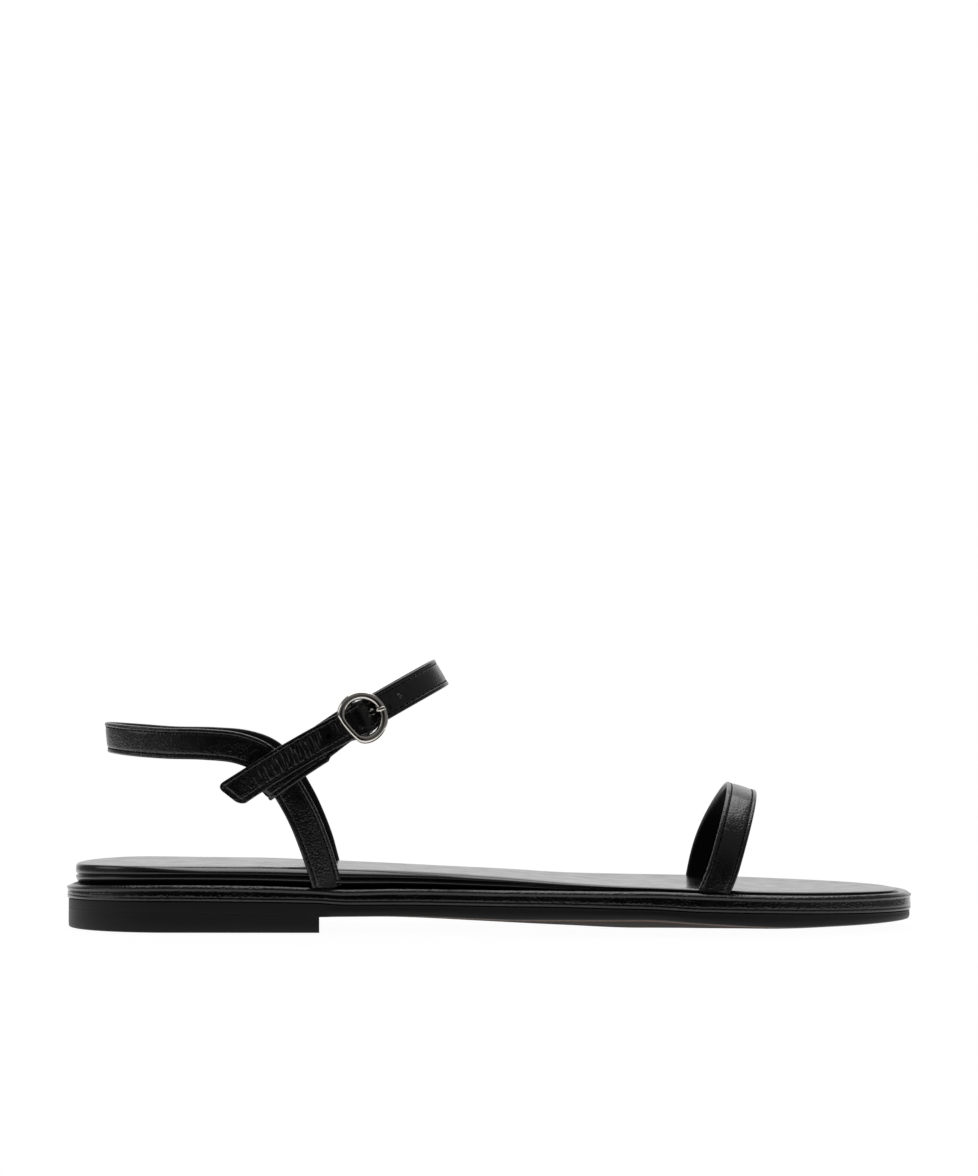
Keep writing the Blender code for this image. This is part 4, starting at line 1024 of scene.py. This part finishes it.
(d0, d1), (w0, w1), (n0, n1) = PRONG_SLIT
slit_ends = [in_buckle([(d0, w, n0), (d1, w, n0), (d1, w, n1), (d0, w, n1)]) for w in (w0, w1)]
boolean(buckle_tab, "DIFFERENCE", skin("slit", np.array(slit_ends)))
buckle_tab.data.set_sharp_from_angle(angle=CUT_EDGE)
finish_piece(buckle_tab, "strap_leather", "buckle_tab")

# %% Ring and bar
RING_RADIUS, RING_FLAT, RING_CORNER, RING_LEVEL = 6.6, 5.2, 8.0, 2.4
RING_FLAT_TURN = radians(12.0)
RING_WIRE, FLAT_WIRE, FLAT_BLEND = 1.2, 0.85, 0.8
RING_STATIONS, BAR_STATIONS, WIRE_SIDES = 144, 60, 24
BAR_JOINT = radians(45)
BAR_SIDE = ((5.1, BAR_LEVEL), (5.7, BAR_LEVEL), (6.25, -1.2), (6.5, -0.2), (RING_RADIUS, RING_LEVEL))


def wire_sections(centres, across, radius, closed=False):
    """Sections of a round wire. The radius may change along it."""
    face = unit(np.cross(tangents(centres, closed), across))
    radius = np.broadcast_to(radius, len(centres))[:, None]
    turns = np.linspace(0, 2 * pi, WIRE_SIDES, endpoint=False)
    return np.stack([centres + radius * (cos(a) * across + sin(a) * face) for a in turns], axis=1)


ring_turns = np.linspace(0, 2 * pi, RING_STATIONS, endpoint=False)
flat = np.maximum(-np.cos(ring_turns - RING_FLAT_TURN), 0.0) / RING_FLAT
ring_radii = (RING_RADIUS**-RING_CORNER + flat**RING_CORNER) ** (-1 / RING_CORNER)
ring_wires = RING_WIRE + (FLAT_WIRE - RING_WIRE) * ease((RING_RADIUS - ring_radii) / FLAT_BLEND)
ring_centres = in_buckle(np.stack([ring_radii * np.cos(ring_turns), ring_radii * np.sin(ring_turns),
                                   np.full(RING_STATIONS, RING_LEVEL)], axis=1))
ring_sections = wire_sections(ring_centres, np.tile(buckle_out, (RING_STATIONS, 1)), ring_wires, closed=True)
ring = skin("buckle_ring", ring_sections, closed=True, materials=(nickel,))
bar_route = [(0.0, -across, out_by) for across, out_by in BAR_SIDE[::-1]]
bar_route += [(0.0, across, out_by) for across, out_by in BAR_SIDE]
bar_path = curve_through(bar_route, ROUTE_STEPS)
bar_centres = in_buckle(along(bar_path, np.linspace(0, path_length(bar_path), BAR_STATIONS)))
bar = skin("buckle_bar", wire_sections(bar_centres, np.tile(buckle_run, (BAR_STATIONS, 1)), BAR_WIRE),
           materials=(nickel,))
boolean(ring, "UNION", bar)
ring.data.set_sharp_from_angle(angle=BAR_JOINT)
finish_piece(ring, "buckle_metal", "buckle_frame")

# %% Prong
PRONG_WIRE, PRONG_HOOK_END, TIP_FLAT = 0.65, 1.75 * pi, 0.9
PRONG_STATIONS, HOOK_STATIONS = 110, 14
PRONG_ROUTE = ((2.2, 0.0, -1.65), (3.0, 0.0, -1.2), (3.55, 0.0, -0.3), (3.95, -0.1, 0.9), (4.4, -0.2, 2.4),
               (5.1, -0.3, 3.95), (6.2, -0.5, 4.5), (7.2, -0.7, 4.45))
hook = BAR_WIRE + BAR_CLEAR + PRONG_WIRE
hook_turns = np.linspace(pi / 2, PRONG_HOOK_END, HOOK_STATIONS)
prong_route = [(hook * cos(a), 0.0, BAR_LEVEL + hook * sin(a)) for a in hook_turns] + list(PRONG_ROUTE)
prong_path = curve_through(prong_route, ROUTE_STEPS)
prong_distances = np.linspace(0, path_length(prong_path), PRONG_STATIONS)
to_tip = np.minimum(path_length(prong_path) - prong_distances, PRONG_WIRE)
prong_radii = np.sqrt(PRONG_WIRE**2 - TIP_FLAT * (PRONG_WIRE - to_tip) ** 2)
prong_centres = in_buckle(along(prong_path, prong_distances))
prong_sections = wire_sections(prong_centres, np.tile(buckle_axes[1], (PRONG_STATIONS, 1)), prong_radii)
prong = skin("buckle_pin", prong_sections, materials=(nickel,))
finish_piece(prong, "buckle_metal", "buckle_prong")

# %% [markdown]
# ## Stitches
# Each strap is sewn with two rows of black thread that lie in the grooves. Between two stitches the needle
# leaves a small hole, and its shade is painted as a small dark bead. Geometry Nodes place both: the groove
# lines become curves, are cut into even lengths, and one bead is set on each point, turned along the line.
# The painted-shade beads of the needle holes use the same tree, started half a stitch later. The instances
# are realised, because the finished piece has to be plain mesh.

# %% Stitch tree
def stitch_tree():
    tree = bpy.data.node_groups.new("stitch_rows", "GeometryNodeTree")
    tree.interface.new_socket("Geometry", in_out="INPUT", socket_type="NodeSocketGeometry")
    for name in ("Pitch", "Start", "Length", "Width"):
        tree.interface.new_socket(name, in_out="INPUT", socket_type="NodeSocketFloat")
    tree.interface.new_socket("Finish", in_out="INPUT", socket_type="NodeSocketMaterial")
    tree.interface.new_socket("Geometry", in_out="OUTPUT", socket_type="NodeSocketGeometry")
    given = add_node(tree, "NodeGroupInput").outputs
    lines = add_node(tree, "GeometryNodeMeshToCurve", {"Mesh": given["Geometry"]})
    whole = add_node(tree, "GeometryNodeSplineLength")
    trimmed = add_node(tree, "GeometryNodeTrimCurve",
                       {"Curve": lines.outputs[0], 4: given["Start"], 5: whole.outputs["Length"]},
                       mode="LENGTH")
    spots = add_node(tree, "GeometryNodeResampleCurve",
                     {"Curve": trimmed.outputs[0], "Length": given["Pitch"]}, mode="LENGTH")
    tangent = add_node(tree, "GeometryNodeInputTangent")
    turned = add_node(tree, "FunctionNodeAlignRotationToVector", {"Vector": tangent.outputs[0]}, axis="X")
    bead = add_node(tree, "GeometryNodeMeshUVSphere", {"Segments": 6, "Rings": 4, "Radius": 1.0})
    size = add_node(tree, "ShaderNodeCombineXYZ",
                    {"X": given["Length"], "Y": given["Width"], "Z": given["Width"]})
    shaped = add_node(tree, "GeometryNodeTransform",
                      {"Geometry": bead.outputs["Mesh"], "Scale": size.outputs[0]})
    placed = add_node(tree, "GeometryNodeInstanceOnPoints",
                      {"Points": spots.outputs[0], "Instance": shaped.outputs[0],
                       "Rotation": turned.outputs[0]})
    plain = add_node(tree, "GeometryNodeRealizeInstances", {"Geometry": placed.outputs[0]})
    inked = add_node(tree, "GeometryNodeSetMaterial",
                     {"Geometry": plain.outputs[0], "Material": given["Finish"]})
    add_node(tree, "NodeGroupOutput", {"Geometry": inked.outputs[0]})
    return tree


stitches_tree = stitch_tree()
sockets = stitches_tree.interface.items_tree
socket_ids = {item.name: item.identifier for item in sockets if item.in_out == "INPUT"}
print("inputs:", list(socket_ids))

# %% Sew the straps
STITCH_PITCH, THREAD_LIFT = 2.45, 0.1
THREAD = {"Start": 0.0, "Length": 0.95, "Width": 0.2, "Finish": thread_black}
# The needle-hole beads are painted shade, standing for the dark inside each hole.
NEEDLE = {"Start": STITCH_PITCH / 2, "Length": 0.32, "Width": 0.24, "Finish": needle_hole_shade_finish}


def sew(name, centres, across, half, thick, start, end, bead):
    """Two rows of beads in the grooves of a strap, from start to end of its stations."""
    inset, height = FACE[GROOVE_ROW]
    out = unit(np.cross(tangents(centres), across))
    verts, edges = [], []
    for sign in (1, -1):
        line = centres + sign * (half - inset) * across + (height * thick / 2 + THREAD_LIFT) * out
        line = line[start:end]
        edges += [(len(verts) + k, len(verts) + k + 1) for k in range(len(line) - 1)]
        verts += to_frame(line).tolist()
    mesh = bpy.data.meshes.new(name)
    mesh.from_pydata(verts, edges, [])
    rows = bpy.data.objects.new(name, mesh)
    bpy.context.scene.collection.objects.link(rows)
    modifier = rows.modifiers.new("stitches", "NODES")
    modifier.node_group = stitches_tree
    modifier[socket_ids["Pitch"]] = STITCH_PITCH * MM
    modifier[socket_ids["Finish"]] = bead["Finish"]
    for key in ("Start", "Length", "Width"):
        modifier[socket_ids[key]] = bead[key] * MM
    apply_modifiers(rows)
    rows.data.shade_smooth()
    finish_piece(rows, "strap_leather")


SEWN = (
    ("heel_strap_", heel_centres, heel_across, HEEL_STRAP_WIDTH / 2, HEEL_STRAP_THICK, 12, -12),
    ("toe_strap_", toe_centres, toe_across, TOE_WIDTH / 2, TOE_THICK, 12, -12),
    ("ankle_strap_", ankle_centres, ankle_across, ANKLE_WIDTH / 2, ANKLE_THICK, 20, -8),
)
for kind, bead in (("stitches", THREAD), ("needle_hole_shade_beads", NEEDLE)):
    for strap, *line in SEWN:
        sew(strap + kind, *line, bead)
